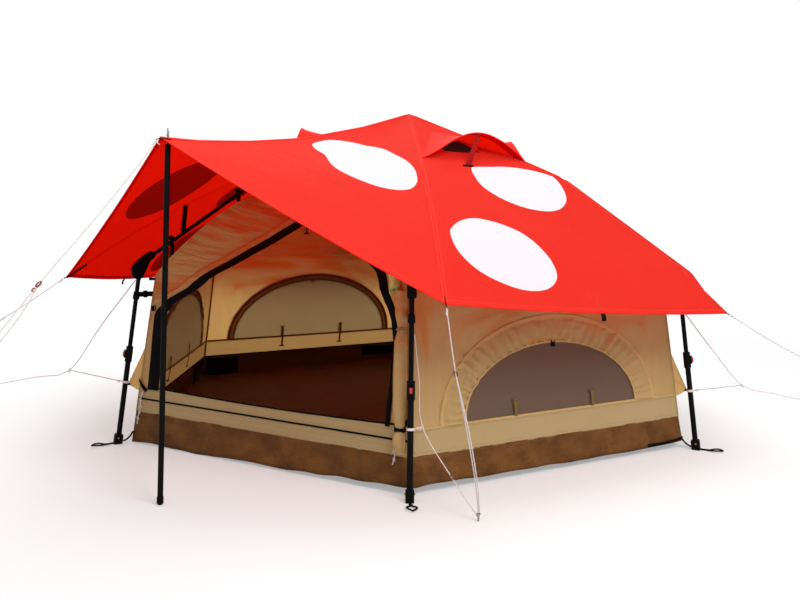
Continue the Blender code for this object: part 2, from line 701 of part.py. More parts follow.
def vent_hood(angle):
    """One raised hood: an open arch of cloth that runs to a point up the panel."""
    sections = 3
    points = 8
    bm = bmesh.new()
    rings = []
    for number in range(sections):
        size = 1 - number / sections
        out = HOOD_BACK + (HOOD_MOUTH - HOOD_BACK) * size
        arch = []
        for step in range(points + 1):
            turn = pi * step / points
            across = HOOD_HALF_WIDTH * size * cos(turn)
            rise = (HOOD_RISE * size + HOOD_SEAM) * sin(turn) - HOOD_SEAM
            arch.append(bm.verts.new((out, across, panel_height(out, across) + rise)))
        rings.append(arch)
    tip = bm.verts.new((HOOD_BACK, 0, panel_height(HOOD_BACK) - HOOD_SEAM))
    for outer, inner in zip(rings[:-1], rings[1:]):
        for step in range(points):
            bm.faces.new((outer[step], outer[step + 1], inner[step + 1], inner[step]))
    for step in range(points):
        bm.faces.new((rings[-1][step], rings[-1][step + 1], tip))
    bmesh.ops.transform(bm, matrix=Matrix.Rotation(radians(angle), 4, "Z"), verts=bm.verts)
    hood = thicken(add("hood_surface", mesh_of("hood", bm), TOOLS), "hood", CLOTH)
    return hood


def vent_opening(angle):
    """The opening in the panel under a hood."""
    outline = [
        (HOOD_MOUTH - VENT_MARGIN, -VENT_HALF_WIDTH),
        (HOOD_MOUTH - VENT_MARGIN, VENT_HALF_WIDTH),
        (HOOD_BACK + 2 * VENT_MARGIN, 0.3 * VENT_HALF_WIDTH),
        (HOOD_BACK + 2 * VENT_MARGIN, -0.3 * VENT_HALF_WIDTH),
    ]
    hole = plate("vent", outline, FLY_PEAK)
    moved(hole, Matrix.Translation((0, 0, FLY_PEAK)) @ Matrix.Rotation(-pi / 2, 4, "X"))
    return moved(hole, Matrix.Rotation(radians(angle), 4, "Z"))


def fly():
    angles = HOOD_PANELS.values()
    shape = thicken(fly_sheet(), "fly_cloth", CLOTH)
    shape = cut(shape, *[vent_opening(angle) for angle in angles])
    shape = join(shape, *[vent_hood(angle) for angle in angles])
    top = PORCH_POLE_TOP
    run = (top - PORCH_POLE_FOOT).normalized()
    reach = run * 2 * PORCH_TIP_PIN_LENGTH
    shape = join(shape, *[corner_tab(corner, route[0]) for corner, route in FLY_GUYS.values()])
    hole = rod("grommet", top - reach, top + reach, PORCH_TIP_PIN_RADIUS + GROMMET_CLEARANCE)
    finished(cut(shape, hole), "fly", RED_CLOTH)


def doorway():
    """The door's opening as a prism along Y, which cuts the front wall and the roof alike."""
    slope = (EAVE_RADIUS - BASE_RADIUS) * ACROSS / EAVE_HEIGHT
    front = -(BASE_RADIUS * ACROSS + slope * DOOR_SILL) - 0.1
    outline = [
        (-DOOR_HALF_WIDTH, DOOR_SILL),
        (DOOR_HALF_WIDTH, DOOR_SILL),
        (DOOR_HALF_WIDTH, DOOR_SHOULDER),
        (0.0, DOOR_PEAK),
        (-DOOR_HALF_WIDTH, DOOR_SHOULDER),
    ]
    depth = 1.2
    prism = plate("doorway", outline, depth)
    return moved(prism, Matrix.Translation((0, front + depth / 2, 0)))


def corner_radius(height):
    """The inner tent's corner radius at a height on its walls."""
    return BASE_RADIUS + (EAVE_RADIUS - BASE_RADIUS) * height / EAVE_HEIGHT


def ring(bm, radius, height):
    made = []
    for angle in CHAINS.values():
        turn = radians(angle)
        made.append(bm.verts.new((radius * cos(turn), radius * sin(turn), height)))
    return made


def skin(bm, low, high):
    for number in range(len(low)):
        after = (number + 1) % len(low)
        bm.faces.new((low[number], low[after], high[after], high[number]))


def floor_tub():
    """The groundsheet with its raised sides, one tray."""
    bm = bmesh.new()
    base = ring(bm, BASE_RADIUS, 0.0)
    rim = ring(bm, corner_radius(SKIRT_HEIGHT), SKIRT_HEIGHT)
    bm.faces.new(list(reversed(base)))
    skin(bm, base, rim)
    sheet = add("floor_surface", mesh_of("floor", bm), TOOLS)
    finished(thicken(sheet, "floor_cloth", CLOTH), "floor_tub", BROWN_CLOTH)


def inner_roof():
    """The inner tent's roof over the walls, open at the door's peak."""
    bm = bmesh.new()
    low = EAVE_HEIGHT + SEAM_GAP
    eave = ring(bm, EAVE_RADIUS, low)
    knee = ring(bm, ROOF_KNEE_RADIUS, pole_line(ROOF_KNEE_RADIUS) - ROOF_HANG)
    peak_height = HUB_PIN_HEIGHT - HUB_BELOW_PIN - SEAT_GAP
    top = ring(bm, ROOF_TOP_RADIUS, peak_height - ROOF_TOP_DROP)
    skin(bm, eave, knee)
    skin(bm, knee, top)
    peak = bm.verts.new((0, 0, peak_height))
    for number in range(len(top)):
        bm.faces.new((top[number], top[(number + 1) % len(top)], peak))
    sheet = add("roof_surface", mesh_of("roof", bm), TOOLS)
    shape = cut(thicken(sheet, "roof_cloth", CLOTH), doorway())
    finished(shape, "inner_roof", TAN_CLOTH)


def wall_lean():
    """The angle by which the walls lean in from upright."""
    return atan2((BASE_RADIUS - EAVE_RADIUS) * ACROSS, EAVE_HEIGHT)


def wall_plane():
    """The place of the front wall: its own x-z plane is the wall's outer face."""
    return Matrix.Translation((0, -BASE_RADIUS * ACROSS, 0)) @ Matrix.Rotation(-wall_lean(), 4, "X")


def wall(name, angle, with_door):
    """One flat wall, leaning in, between the tub's rim and the eaves."""
    low, high = SKIRT_HEIGHT + SEAM_GAP, EAVE_HEIGHT - SEAM_GAP
    lean = wall_lean()
    inset = 0.003
    outline = []
    for height, side in ((low, -1), (low, 1), (high, 1), (high, -1)):
        half = corner_radius(height) / 2 - inset
        outline.append((side * half, height / cos(lean)))
    flat = plate(name + "_cloth", outline, CLOTH)
    flat = moved(flat, Matrix.Translation((0, CLOTH / 2, 0)))
    turn = Matrix.Rotation(radians(angle + 90), 4, "Z")
    flat = moved(flat, wall_plane())
    if with_door:
        flat = cut(flat, doorway())
    finished(moved(flat, turn), name, TAN_CLOTH)


def walls():
    wall("wall_front", 270.0, True)
    wall("wall_front_right", 330.0, False)
    wall("wall_back_right", 30.0, False)
    wall("wall_back", 90.0, False)
    wall("wall_back_left", 150.0, False)
    wall("wall_front_left", 210.0, False)


def tube_line(name, points, radius, resolution=2, sizes=None):
    """A round line through the points, with closed ends, as a mesh."""
    curve = bpy.data.curves.new(name, "CURVE")
    curve.dimensions = "3D"
    curve.bevel_depth = radius
    curve.bevel_resolution = resolution
    curve.use_fill_caps = True
    curve.resolution_u = 1
    curve.render_resolution_u = 0
    spline = curve.splines.new("POLY")
    spline.points.add(len(points) - 1)
    for number, place in enumerate(points):
        spline.points[number].co = (*place, 1.0)
        if sizes:
            spline.points[number].radius = sizes[number]
    return solid_from(add(name + "_line", curve, TOOLS), name)


def door_roll():
    """The door's panel rolled up beside the doorway, against the front wall."""
    lean = (BASE_RADIUS - EAVE_RADIUS) * ACROSS / EAVE_HEIGHT
    sizes = (0.55, 0.95, 0.70, 1.00, 1.05, 1.00, 0.68, 0.95, 0.50)
    points = []
    for number in range(len(sizes)):
        share = number / (len(sizes) - 1)
        z = DOOR_ROLL_BOTTOM + (DOOR_ROLL_TOP - DOOR_ROLL_BOTTOM) * share
        wall_y = -BASE_RADIUS * ACROSS + lean * z
        y = wall_y - 0.85 * DOOR_ROLL_RADIUS
        points.append((DOOR_HALF_WIDTH + DOOR_ROLL_LEAN * (0.5 - share), y, z))
    roll = tube_line("door_roll", points, DOOR_ROLL_RADIUS, 2, sizes)
    behind = block("behind", (0, -SEAT_GAP, -EAVE_HEIGHT), (BASE_RADIUS, EAVE_HEIGHT, 2 * EAVE_HEIGHT))
    roll = cut(roll, moved(behind, wall_plane()))
    finished(roll, "door_panel_rolled", TAN_CLOTH)


def porch_pole():
    """Two tubes plugged into each other, a rubber foot and the pin through the fly's eyelet."""
    foot, top = PORCH_POLE_FOOT, PORCH_POLE_TOP
    run = (top - foot).normalized()
    split = foot.lerp(top, PORCH_POLE_SPLIT)
    overlap = 0.5 * PORCH_CAP_LENGTH
    lower = rod("pole_lower", foot + run * overlap, split, PORCH_POLE_RADIUS)
    cap = rod("pole_cap", foot + run * 0.17 * PORCH_CAP_LENGTH, foot + run * PORCH_CAP_LENGTH,
              PORCH_CAP_RADIUS)
    tip = rod("cap_tip", foot - run * 0.06 * PORCH_CAP_LENGTH, foot + run * 0.34 * PORCH_CAP_LENGTH,
              PORCH_CAP_TIP_RADIUS, 0.98 * PORCH_CAP_RADIUS)
    socket = rod("pole_socket", split - run * (1.07 * PORCH_SPIGOT_LENGTH), split + run * overlap,
                 PORCH_SPIGOT_RADIUS + PIN_CLEARANCE)
    reach = 4 * PORCH_CAP_LENGTH
    ground = block("ground", foot - Vector((reach, reach, reach)), foot + Vector((reach, reach, 0)))
    finished(cut(join(lower, cap, tip), socket, ground), "porch_pole_lower", BLACK_PAINT)
    start = split + run * RUNNING_GAP
    shoulder = top - run * (PORCH_TIP_PIN_LENGTH / 2)
    upper = rod("pole_upper", start, shoulder, PORCH_POLE_RADIUS)
    spigot = rod("pole_spigot", split - run * PORCH_SPIGOT_LENGTH, start + run * overlap,
                 PORCH_SPIGOT_RADIUS)
    pin = rod("pole_tip", shoulder - run * overlap / 2, top + run * PORCH_TIP_PIN_LENGTH,
              PORCH_TIP_PIN_RADIUS)
    finished(join(upper, spigot, pin), "porch_pole_upper", BLACK_PAINT)


def smooth_route(points, step):
    """A smooth line through hand-chosen points, one point every step of its length."""
    route = [Vector(p) for p in points]
    route = [2 * route[0] - route[1]] + route + [2 * route[-1] - route[-2]]
    made = []
    for number in range(1, len(route) - 2):
        a, b, c, d = route[number - 1:number + 3]
        count = max(2, round((c - b).length / step))
        for part in range(count):
            t = part / count
            made.append(0.5 * (2 * b + (c - a) * t + (2 * a - 5 * b + 4 * c - d) * t * t
                               + (3 * b - a - 3 * c + d) * t * t * t))
    return made + [route[-2]]


def fly_corner(corner, toward):
    """A fly corner's place, or the porch tip's, and the direction in which its line leaves."""
    place = PORCH_TIP if corner == "tip" else Vector(FLY_CORNERS[corner])
    return place, (Vector(toward) - place).normalized()


def corner_tab(corner, toward):
    """The webbing tab sewn to a corner of the fly, in line with its guy line."""
    place, run = fly_corner(corner, toward)
    tab = block("tab", (-TAB_WIDTH / 2, -TAB_THICKNESS / 2, -TAB_LENGTH / 2),
                (TAB_WIDTH / 2, TAB_THICKNESS / 2, TAB_LENGTH / 2))
    turn = run.to_track_quat("Z", "X" if corner == "tip" else "Y").to_matrix().to_4x4()
    return moved(tab, Matrix.Translation(place + run * 0.2 * TAB_LENGTH) @ turn)


def fly_anchor(corner, toward):
    """The start of a line just clear of the end of its corner's tab."""
    place, run = fly_corner(corner, toward)
    return place + run * (0.7 * TAB_LENGTH + SEAT_GAP)


def leg_anchor(chain, height, tube_radius, toward):
    """The end of a line just clear of a leg's tube, at this height, on the side it comes from."""
    turn = Matrix.Rotation(radians(CHAINS[chain]), 3, "Z")
    start = ELBOW_PIN + LEG_OUT * ELBOW_OFFSET
    centre = turn @ (start + LEG_RUN * leg_distance(height))
    run = turn @ LEG_RUN
    way = (Vector(toward) - centre).normalized()
    out = (way - run * way.dot(run)).normalized()
    tilt = LINE_RADIUS * max(0.0, 1 - way.dot(out) ** 2) ** 0.5
    return centre + out * (tube_radius + tilt + SEAT_GAP)


def guy_lines():
    for name, (corner, route) in FLY_GUYS.items():
        points = [fly_anchor(corner, route[0])] + route
        line = tube_line(name, smooth_route(points, 0.08), LINE_RADIUS, 1)
        finished(line, name, PALE_CORD)
    for name, (chain, high, low, route) in LEG_GUYS.items():
        points = [leg_anchor(chain, high, LEG_INNER_RADIUS, route[0])] + route
        line = tube_line(name + "_main", smooth_route(points, 0.08), LINE_RADIUS, 1)
        knot = route[1]
        end = leg_anchor(chain, low, LEG_OUTER_RADIUS, knot)
        branch = tube_line(name + "_branch", smooth_route([knot, end], 0.08), 1.05 * LINE_RADIUS, 1)
        finished(join(line, branch), name, PALE_CORD)


def peg():
    """The part of the steel peg that stands out of the ground, with its hooked head."""
    x, y = PEG_PLACE
    shape = rod("peg_stem", (x, y, 0), (x, y, PEG_HEIGHT), PEG_RADIUS)
    head = rod("peg_head", (x, y, PEG_HEIGHT - 0.006), (x, y, PEG_HEIGHT), PEG_HEAD_RADIUS)
    finished(join(shape, head), "guy_peg", STEEL)


def build():
    start_clean()
    collection(PARTS)
    collection(TOOLS)
    place_chains()
    hub()
    hub_cap()
    fly()
    floor_tub()
    inner_roof()
    walls()
    door_roll()
    porch_pole()
    guy_lines()
    peg()


build()
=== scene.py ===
import bmesh
import bpy
from math import atan2, cos, hypot, pi, radians, sin, sqrt, tan
from mathutils import Matrix, Vector, noise


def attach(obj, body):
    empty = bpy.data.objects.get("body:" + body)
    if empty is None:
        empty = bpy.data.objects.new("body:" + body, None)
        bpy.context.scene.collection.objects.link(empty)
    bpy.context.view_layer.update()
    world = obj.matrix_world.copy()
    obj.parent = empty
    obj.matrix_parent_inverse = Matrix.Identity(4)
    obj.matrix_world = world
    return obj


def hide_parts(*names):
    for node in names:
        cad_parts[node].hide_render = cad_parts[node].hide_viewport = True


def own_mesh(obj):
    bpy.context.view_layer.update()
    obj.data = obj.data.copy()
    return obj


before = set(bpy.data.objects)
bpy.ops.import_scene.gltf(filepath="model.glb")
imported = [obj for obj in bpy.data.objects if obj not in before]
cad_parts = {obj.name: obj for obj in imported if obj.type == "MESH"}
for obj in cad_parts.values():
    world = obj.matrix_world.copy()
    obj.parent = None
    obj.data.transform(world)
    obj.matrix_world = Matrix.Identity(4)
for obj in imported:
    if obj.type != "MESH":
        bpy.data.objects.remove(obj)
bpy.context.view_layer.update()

# The tent's own sizes, in metres, as its source has them. The door faces -Y.
CHAINS = {"right": 0, "back_right": 60, "back_left": 120, "left": 180, "front_left": 240, "front_right": 300}
TURNS = {chain: Matrix.Rotation(radians(angle), 3, "Z") for chain, angle in CHAINS.items()}
UP = Vector((0, 0, 1))
ACROSS = cos(radians(30))
KNEE = Vector((1.0554, 0, 1.4543))
POLE_SLOPE = radians(34.5)
LEG_TOP = Vector((1.7050, 0, 0.9814))
LEG_SLOPE = radians(81.8)
INNER_TUBE, OUTER_TUBE = 0.0120, 0.0145
HUB_DROP = 0.5685
EAVE = 0.930
TENT_KEEP = (EAVE - HUB_DROP) / EAVE
LINE_RADIUS = 0.0025
CLOTH = 0.0012
PEG = Vector((1.290, -1.658, 0.034))
PORCH_TIP = Vector((0, -2.170, 1.606))
FLY_CORNERS = {
    "right": Vector((1.995, -0.130, 0.785)), "back_right": Vector((1.000, 1.732, 0.785)),
    "back_left": Vector((-1.000, 1.732, 0.785)), "left": Vector((-1.995, -0.130, 0.785)),
    "front_left": Vector((-1.067, -1.792, 0.930)), "front_right": Vector((1.158, -1.736, 0.925)),
    "tip": PORCH_TIP}
# a fly line starts just past the end of its corner's tab
TAB_REACH = 0.0157


# ---------------------------------------------------------------- shapes

def even(count, low=0.0, high=1.0):
    """Values from low to high in this many equal steps."""
    return [low + (high - low) * k / count for k in range(count + 1)]


def circle(sides):
    return [2 * pi * n / sides for n in range(sides)]


def rows_of(place, down, across):
    """Rows of points, one for each value down and each value across."""
    return [[place(v, u) for u in across] for v in down]


def rings(outline, foot, run, sides):
    """Circles round a line: outline is radius and height along run."""
    turn = Vector(run).to_track_quat("Z", "Y")
    return [[Vector(foot) + turn @ Vector((r * cos(t), r * sin(t), h)) for t in circle(sides)]
            for r, h in outline]


def runs_along(points):
    """Each point with the line's direction there."""
    points = [Vector(p) for p in points]
    ends = points[:1] + points + points[-1:]
    return [(b, (c - a).normalized()) for a, b, c in zip(ends, ends[1:], ends[2:])]


def posed(place, angle=0.0, tilt=0.0):
    return Matrix.Translation(place) @ Matrix.Rotation(radians(angle), 4, "Z") @ Matrix.Rotation(tilt, 4, "Y")


def add_object(name, data):
    made = bpy.data.objects.new(name, data)
    bpy.context.scene.collection.objects.link(made)
    return made


class Shape:
    """Vertices and faces, with their looks and cloth maps, gathered until they become one piece."""

    def __init__(self):
        self.verts, self.faces, self.maps, self.looks = [], [], [], []

    def grid(self, rows, look=0, around=False, maps=None, flip=False):
        """Quads between rows of points. Without maps, the map is in metres along and across."""
        rows = [[Vector(p) for p in row] for row in rows]
        first, wide, way = len(self.verts), len(rows[0]), -1 if flip else 1
        self.verts += [p for row in rows for p in row]
        if maps is None:
            maps, down = [], 0.0
            for number, row in enumerate(rows):
                down += (row[0] - rows[max(0, number - 1)][0]).length
                line = [(0.0, down)]
                for a, b in zip(row, row[1:] + row[:1]):
                    line.append((line[-1][0] + (b - a).length, down))
                maps.append(line)
        for i in range(len(rows) - 1):
            here, below = first + i * wide, first + (i + 1) * wide
            for j in range(wide if around else wide - 1):
                k = (j + 1) % wide
                corner = [maps[i][j], maps[i][j + 1], maps[i + 1][j + 1], maps[i + 1][j]]
                self.faces.append([here + j, here + k, below + k, below + j][::way])
                self.maps.append(corner[::way])
                self.looks.append(look)

    def face(self, points, flip=False):
        first = len(self.verts)
        self.verts += [Vector(p) for p in points]
        self.faces.append(list(range(first, len(self.verts)))[::-1 if flip else 1])
        self.maps.append([(0.0, 0.0)] * len(points))
        self.looks.append(0)

    def closed(self, rows, flip=False):
        """A solid through rings of points."""
        self.grid(rows, around=True, flip=flip)
        self.face(rows[0], not flip)
        self.face(rows[-1], flip)

    def tube(self, points, radius, sides=8):
        """A round bar along the points, which turns as little as it can."""
        rows, top = [], None
        for place, run in runs_along(points):
            top = top or (UP if abs(run.z) < 0.9 else Vector((0, 1, 0)))
            top = (top - run * top.dot(run)).normalized()
            side = run.cross(top)
            rows.append([place + side * (radius * cos(t)) + top * (radius * sin(t)) for t in circle(sides)])
        self.closed(rows, flip=True)

    def strap(self, points, width, thick, across=UP):
        """Flat webbing along the points; across is the direction of its width, one or one per point."""
        half, soft, rows = width / 2, thick / 2, []
        for number, (place, run) in enumerate(runs_along(points)):
            side = Vector(across[number] if isinstance(across, list) else across)
            side = (side - run * side.dot(run)).normalized()
            top = run.cross(side)
            rows.append([place + side * a + top * b for a, b in (
                (-half, 0), (soft - half, -soft), (half - soft, -soft), (half, 0), (half - soft, soft),
                (soft - half, soft))])
        self.closed(rows)

    def box(self, size, place, bevel):
        """A block with its edges cut back: size is its low and its high corner."""
        (x0, y0, z0), (x1, y1, z1) = size
        b = bevel
        middle = Vector(((x0 + x1) / 2, (y0 + y1) / 2, 0))
        rows = []
        for z, inset in ((z0, b), (z0 + b, 0), (z1 - b, 0), (z1, b)):
            row = [Vector((x, y, 0)) for x, y in (
                (x0 + b, y0), (x1 - b, y0), (x1, y0 + b), (x1, y1 - b), (x1 - b, y1), (x0 + b, y1),
                (x0, y1 - b), (x0, y0 + b))]
            row = [p + (middle - p).normalized() * inset + UP * z for p in row]
            rows.append([place @ p for p in row])
        self.closed(rows)

    def sleeve(self, centre, run, radius, gap, thick, width, sides=20):
        """A band round a tube of this radius: its gap to the tube, its thickness, and its width along run."""
        inner, outer, half = radius + gap, radius + gap + thick, width / 2
        outline = ((inner, -half), (outer, -half), (outer, half), (inner, half), (inner, -half))
        self.grid(rings(outline, centre, run, sides), around=True)

    def hoop(self, centre, long_way, wide_way, length, width, thick, steps=22):
        """A closed loop of wire or cord, stretched along one way."""
        a, b = Vector(long_way).normalized(), Vector(wide_way).normalized()
        rows = []
        for turn in even(steps, 0.0, 2 * pi):
            middle = Vector(centre) + a * (length / 2 * cos(turn)) + b * (width / 2 * sin(turn))
            out = (a * (cos(turn) / length) + b * (sin(turn) / width)).normalized()
            rows.append([middle + out * (thick * cos(t)) + a.cross(b) * (thick * sin(t)) for t in circle(8)])
        self.grid(rows, around=True)

    def knot(self, place, run, size=0.0038, tails=0.022):
        """Two turns of the cord round itself, with its two cut ends."""
        place, run = Vector(place), Vector(run).normalized()
        side = run.cross(UP).normalized()
        top = side.cross(run)
        self.tube([place + run * (0.0048 * (k / 10 - 1.1)) + side * (size * cos(2 * pi * k / 10))
                   + top * (size * sin(2 * pi * k / 10)) for k in range(23)], 0.0021, 6)
        for way in (-1, 1):
            start = place + side * (0.002 * way)
            ends = [start + run * (a * tails) + side * (b * tails * way) - top * c
                    for a, b, c in ((0, 0, 0), (0.35, 0.30, 0.002), (0.6, 0.9, 0.006))]
            self.tube(smooth_route(ends, 0.004), 0.0018, 6)

    def make(self, name, looks, smooth=40, weld=0.0):
        """The mesh object with its looks and its cloth map."""
        mesh = bpy.data.meshes.new(name)
        mesh.from_pydata([tuple(v) for v in self.verts], [], self.faces)
        flat = [c for corner in self.maps for uv in corner for c in uv]
        mesh.uv_layers.new(name="cloth").data.foreach_set("uv", flat)
        mesh.polygons.foreach_set("material_index", self.looks)
        for look in looks if isinstance(looks, list) else [looks]:
            mesh.materials.append(look)
        mesh.update()
        if weld:
            rework(mesh, lambda bm: bmesh.ops.remove_doubles(bm, verts=bm.verts, dist=weld))
        mesh.shade_smooth()
        if smooth:
            mesh.set_sharp_from_angle(angle=radians(smooth))
        return add_object(name, mesh)


def rework(mesh, change):
    bm = bmesh.new()
    bm.from_mesh(mesh)
    change(bm)
    bm.to_mesh(mesh)
    bm.free()


def curve(a, b, c, d, t):
    """A point between b and c on the smooth line through four points."""
    return 0.5 * (2 * b + (c - a) * t + (2 * a - 5 * b + 4 * c - d) * t * t
                  + (3 * b - a - 3 * c + d) * t * t * t)


def spans(points):
    """Each stretch of a line, with the points before and after it."""
    points = [Vector(p) for p in points]
    full = [2 * points[0] - points[1]] + points + [2 * points[-1] - points[-2]]
    return zip(full, full[1:], full[2:], full[3:])


def smooth_route(points, step):
    """A smooth line through given points, one point every step of its length."""
    made = []
    for a, b, c, d in spans(points):
        count = max(2, round((c - b).length / step))
        made += [curve(a, b, c, d, part / count) for part in range(count)]
    return made + [Vector(points[-1])]


def along_stops(stops, at, ease=False):
    """The values between the two stops around a place; each stop starts with its own place."""
    for low, high in zip(stops, stops[1:]):
        if at <= high[0] or high is stops[-1]:
            part = min(1.0, max(0.0, (at - low[0]) / (high[0] - low[0])))
            part = part * part * (3 - 2 * part) if ease else part
            return [a + (b - a) * part for a, b in zip(low[1:], high[1:])]


def ripple(place, size, seed):
    """Smooth noise from -1 to 1, about size metres from crest to crest."""
    return noise.noise(Vector(place) / size + Vector((seed, 3.1 * seed, 7.7 * seed)))


# ---------------------------------------------------------------- materials

def colour(code):
    """An sRGB hex value as linear red, green and blue."""
    parts = [int(code[i:i + 2], 16) / 255 for i in (1, 3, 5)]
    return [c / 12.92 if c <= 0.04045 else ((c + 0.055) / 1.055) ** 2.4 for c in parts] + [1.0]


def plug(made, **inputs):
    """Sets a node's inputs: to numbers, hex colours, or the sockets or nodes that feed them."""
    for key, value in inputs.items():
        socket = made.inputs[int(key[1:]) if key[1:].isdigit() else key.replace("_", " ")]
        if isinstance(value, bpy.types.Node):
            value = value.outputs.get("Fac") or value.outputs[0]
        if isinstance(value, bpy.types.NodeSocket):
            made.id_data.links.new(value, socket)
        else:
            socket.default_value = colour(value) if isinstance(value, str) else value
    return made


def add_node(tree, kind, settings=None, **inputs):
    """One node with its settings and inputs; a shader node's kind leaves out ShaderNode."""
    made = tree.nodes.new(kind if kind.startswith(("Geometry", "NodeGroup")) else "ShaderNode" + kind)
    for key, value in (settings or {}).items():
        setattr(made, key, value)
    return plug(made, **inputs)


def new_material(name, **surface):
    """A material with one Principled shader, and the tree and shader to build on."""
    made = bpy.data.materials.new(name)
    made.use_nodes = True
    return made, made.node_tree, plug(made.node_tree.nodes["Principled BSDF"], **surface)


def blend(tree, factor, low, high):
    """A colour between two, by the factor."""
    return add_node(tree, "Mix", {"data_type": "RGBA"}, i0=factor, i6=low, i7=high).outputs[2]


def relief(shader, strength, distance, height, **more):
    bump = add_node(shader.id_data, "Bump", Strength=strength, Distance=distance, Height=height, **more)
    plug(shader, Normal=bump)
    return bump


def pass_light(shader, share, glow, **more):
    """Lets a share of the light through from behind, in the glow's colour."""
    tree = shader.id_data
    passing = add_node(tree, "BsdfTranslucent", Color=glow, **more)
    both = add_node(tree, "MixShader", Fac=share, i1=shader, i2=passing)
    plug(tree.nodes["Material Output"], Surface=both)
    return both


def bands(tree, axis, spacing, distortion, **more):
    """Bands over the cloth's map, spacing millimetres apart."""
    return add_node(tree, "TexWave", {"bands_direction": axis}, Vector=add_node(tree, "TexCoord").outputs["UV"],
                    Scale=100 * pi / spacing, Distortion=distortion, **more)


def guy_line_cord():
    """Braided polypropylene cord, 5 mm: off-white with a faint pink fleck, its braid catches light."""
    made, tree, shader = new_material("braided_polypropylene_cord", Roughness=0.75, Sheen_Weight=0.25)
    place = add_node(tree, "TexCoord").outputs["UV"]
    # such a braid shows a strand every 3 mm along and four round
    turned = add_node(tree, "Mapping", Vector=place, Rotation=(0, 0, radians(38)), Scale=(330, 330, 1))
    braid = add_node(tree, "TexWave", Vector=turned, Scale=0.5, Distortion=0.4)
    fleck = add_node(tree, "TexNoise", Vector=place, Scale=60.0)
    plug(shader, Base_Color=blend(tree, fleck, "#FAF2F2", "#EBD6D6"))
    relief(shader, 0.5, 0.0004, braid)
    return made


def woven(name, light, dark, thread, rough, sheen=0.05, through=0.0, passed="#FFFFFF", crease=0.0012,
          painted_warm_light=None, spots=None, gloss=0.25, blotch=(2.6, 0.0, 1.0)):
    """Plain woven cloth. thread is the drawn spacing in millimetres; through is how much light each face of the
    cloth lets by, and passed is that light's colour; spots is the print's colour; blotch is the size and the
    range of the noise that runs from light to dark."""
    made, tree, shader = new_material(name, Roughness=rough, Sheen_Weight=sheen, Sheen_Roughness=0.45,
                                      Specular_IOR_Level=gloss)
    place = add_node(tree, "TexCoord").outputs
    size, least, most = blotch
    broad = add_node(tree, "TexNoise", Vector=place["Object"], Scale=size, Detail=3.0)
    paint = blend(tree, add_node(tree, "MapRange", Value=broad, From_Min=least, From_Max=most), light, dark)
    glow, edge = passed, None
    folds = {"Vector": place["Object"], "Scale": 9.0, "Detail": 4.0, "Roughness": 0.55}
    if painted_warm_light:
        # painted light: upwards between two heights the cloth's colour, and the colour of the light it lets by,
        # are painted with the fly's warm light, in streaks along its creases
        low, high, code, contrast = painted_warm_light
        height = add_node(tree, "SeparateXYZ", Vector=place["Object"]).outputs["Z"]
        drawn = add_node(tree, "Mapping", Vector=place["UV"], Scale=(2.6, 12.0, 1.0))
        streak = add_node(tree, "TexNoise", Vector=drawn, Scale=1.0, Detail=3.0, Distortion=0.5)
        lifted = add_node(tree, "Math", {"operation": "MULTIPLY_ADD"}, i0=streak, i1=contrast, i2=height)
        painted_light_share = add_node(tree, "MapRange", {"interpolation_type": "SMOOTHSTEP"}, Value=lifted,
                        From_Min=low + 0.5 * contrast, From_Max=high + 0.5 * contrast)
        paint, glow = blend(tree, painted_light_share, paint, code), blend(tree, painted_light_share, passed, "#FFB468")
        folds = {"Vector": drawn, "Scale": 1.1, "Detail": 3.0, "Roughness": 0.45}
    if spots:
        field = add_node(tree, "Attribute", {"attribute_name": "spot"})
        edge = add_node(tree, "MapRange", Value=field, From_Min=-0.0015, From_Max=0.0015)
        paint = blend(tree, edge, paint, spots)
    plug(shader, Base_Color=paint)
    warp, weft = (bands(tree, axis, thread, 0.6, Detail=0.0) for axis in "XY")
    weave = add_node(tree, "Math", {"operation": "MULTIPLY"}, i0=warp, i1=weft)
    fine = add_node(tree, "Bump", Strength=0.35, Distance=0.0004, Height=weave)
    soft = relief(shader, 0.6, crease * 6, add_node(tree, "TexNoise", **folds), Normal=fine)
    if through:
        both = pass_light(shader, through, glow, Normal=soft)
        if edge:
            # the print lets less light by than the bare cloth
            plug(both, i0=add_node(tree, "MapRange", Value=edge, To_Min=through, To_Max=0.5 * through))
    return made


def net(name, code, hole, opacity, glow=None):
    """Knitted insect net: round openings hole millimetres apart, drawn coarser than the real 1 mm. glow is
    the colour of the daylight that its yarns pass on."""
    made, tree, shader = new_material(name, Roughness=0.8, Sheen_Weight=0.1, Specular_IOR_Level=0.1,
                                      Base_Color=code)
    cells = add_node(tree, "TexVoronoi", {"feature": "DISTANCE_TO_EDGE"}, Scale=1000 / hole, Randomness=0.15,
                     Vector=add_node(tree, "TexCoord").outputs["UV"])
    plug(shader, Alpha=add_node(tree, "MapRange", Value=cells, From_Min=0.16, From_Max=0.24, To_Min=1.0,
                                To_Max=opacity))
    relief(shader, 0.5, 0.0005, cells)
    if glow:
        pass_light(shader, 0.36, glow)
    return made


def webbing(name, light, dark, rib=3.0):
    """Nylon webbing: ribs across it every rib millimetres, with a woven edge."""
    made, tree, shader = new_material(name, Roughness=0.6, Sheen_Weight=0.02, Specular_IOR_Level=0.06)
    ribs = bands(tree, "Y", rib, 0.3)
    plug(shader, Base_Color=blend(tree, ribs, dark, light))
    relief(shader, 0.6, 0.0006, ribs)
    return made


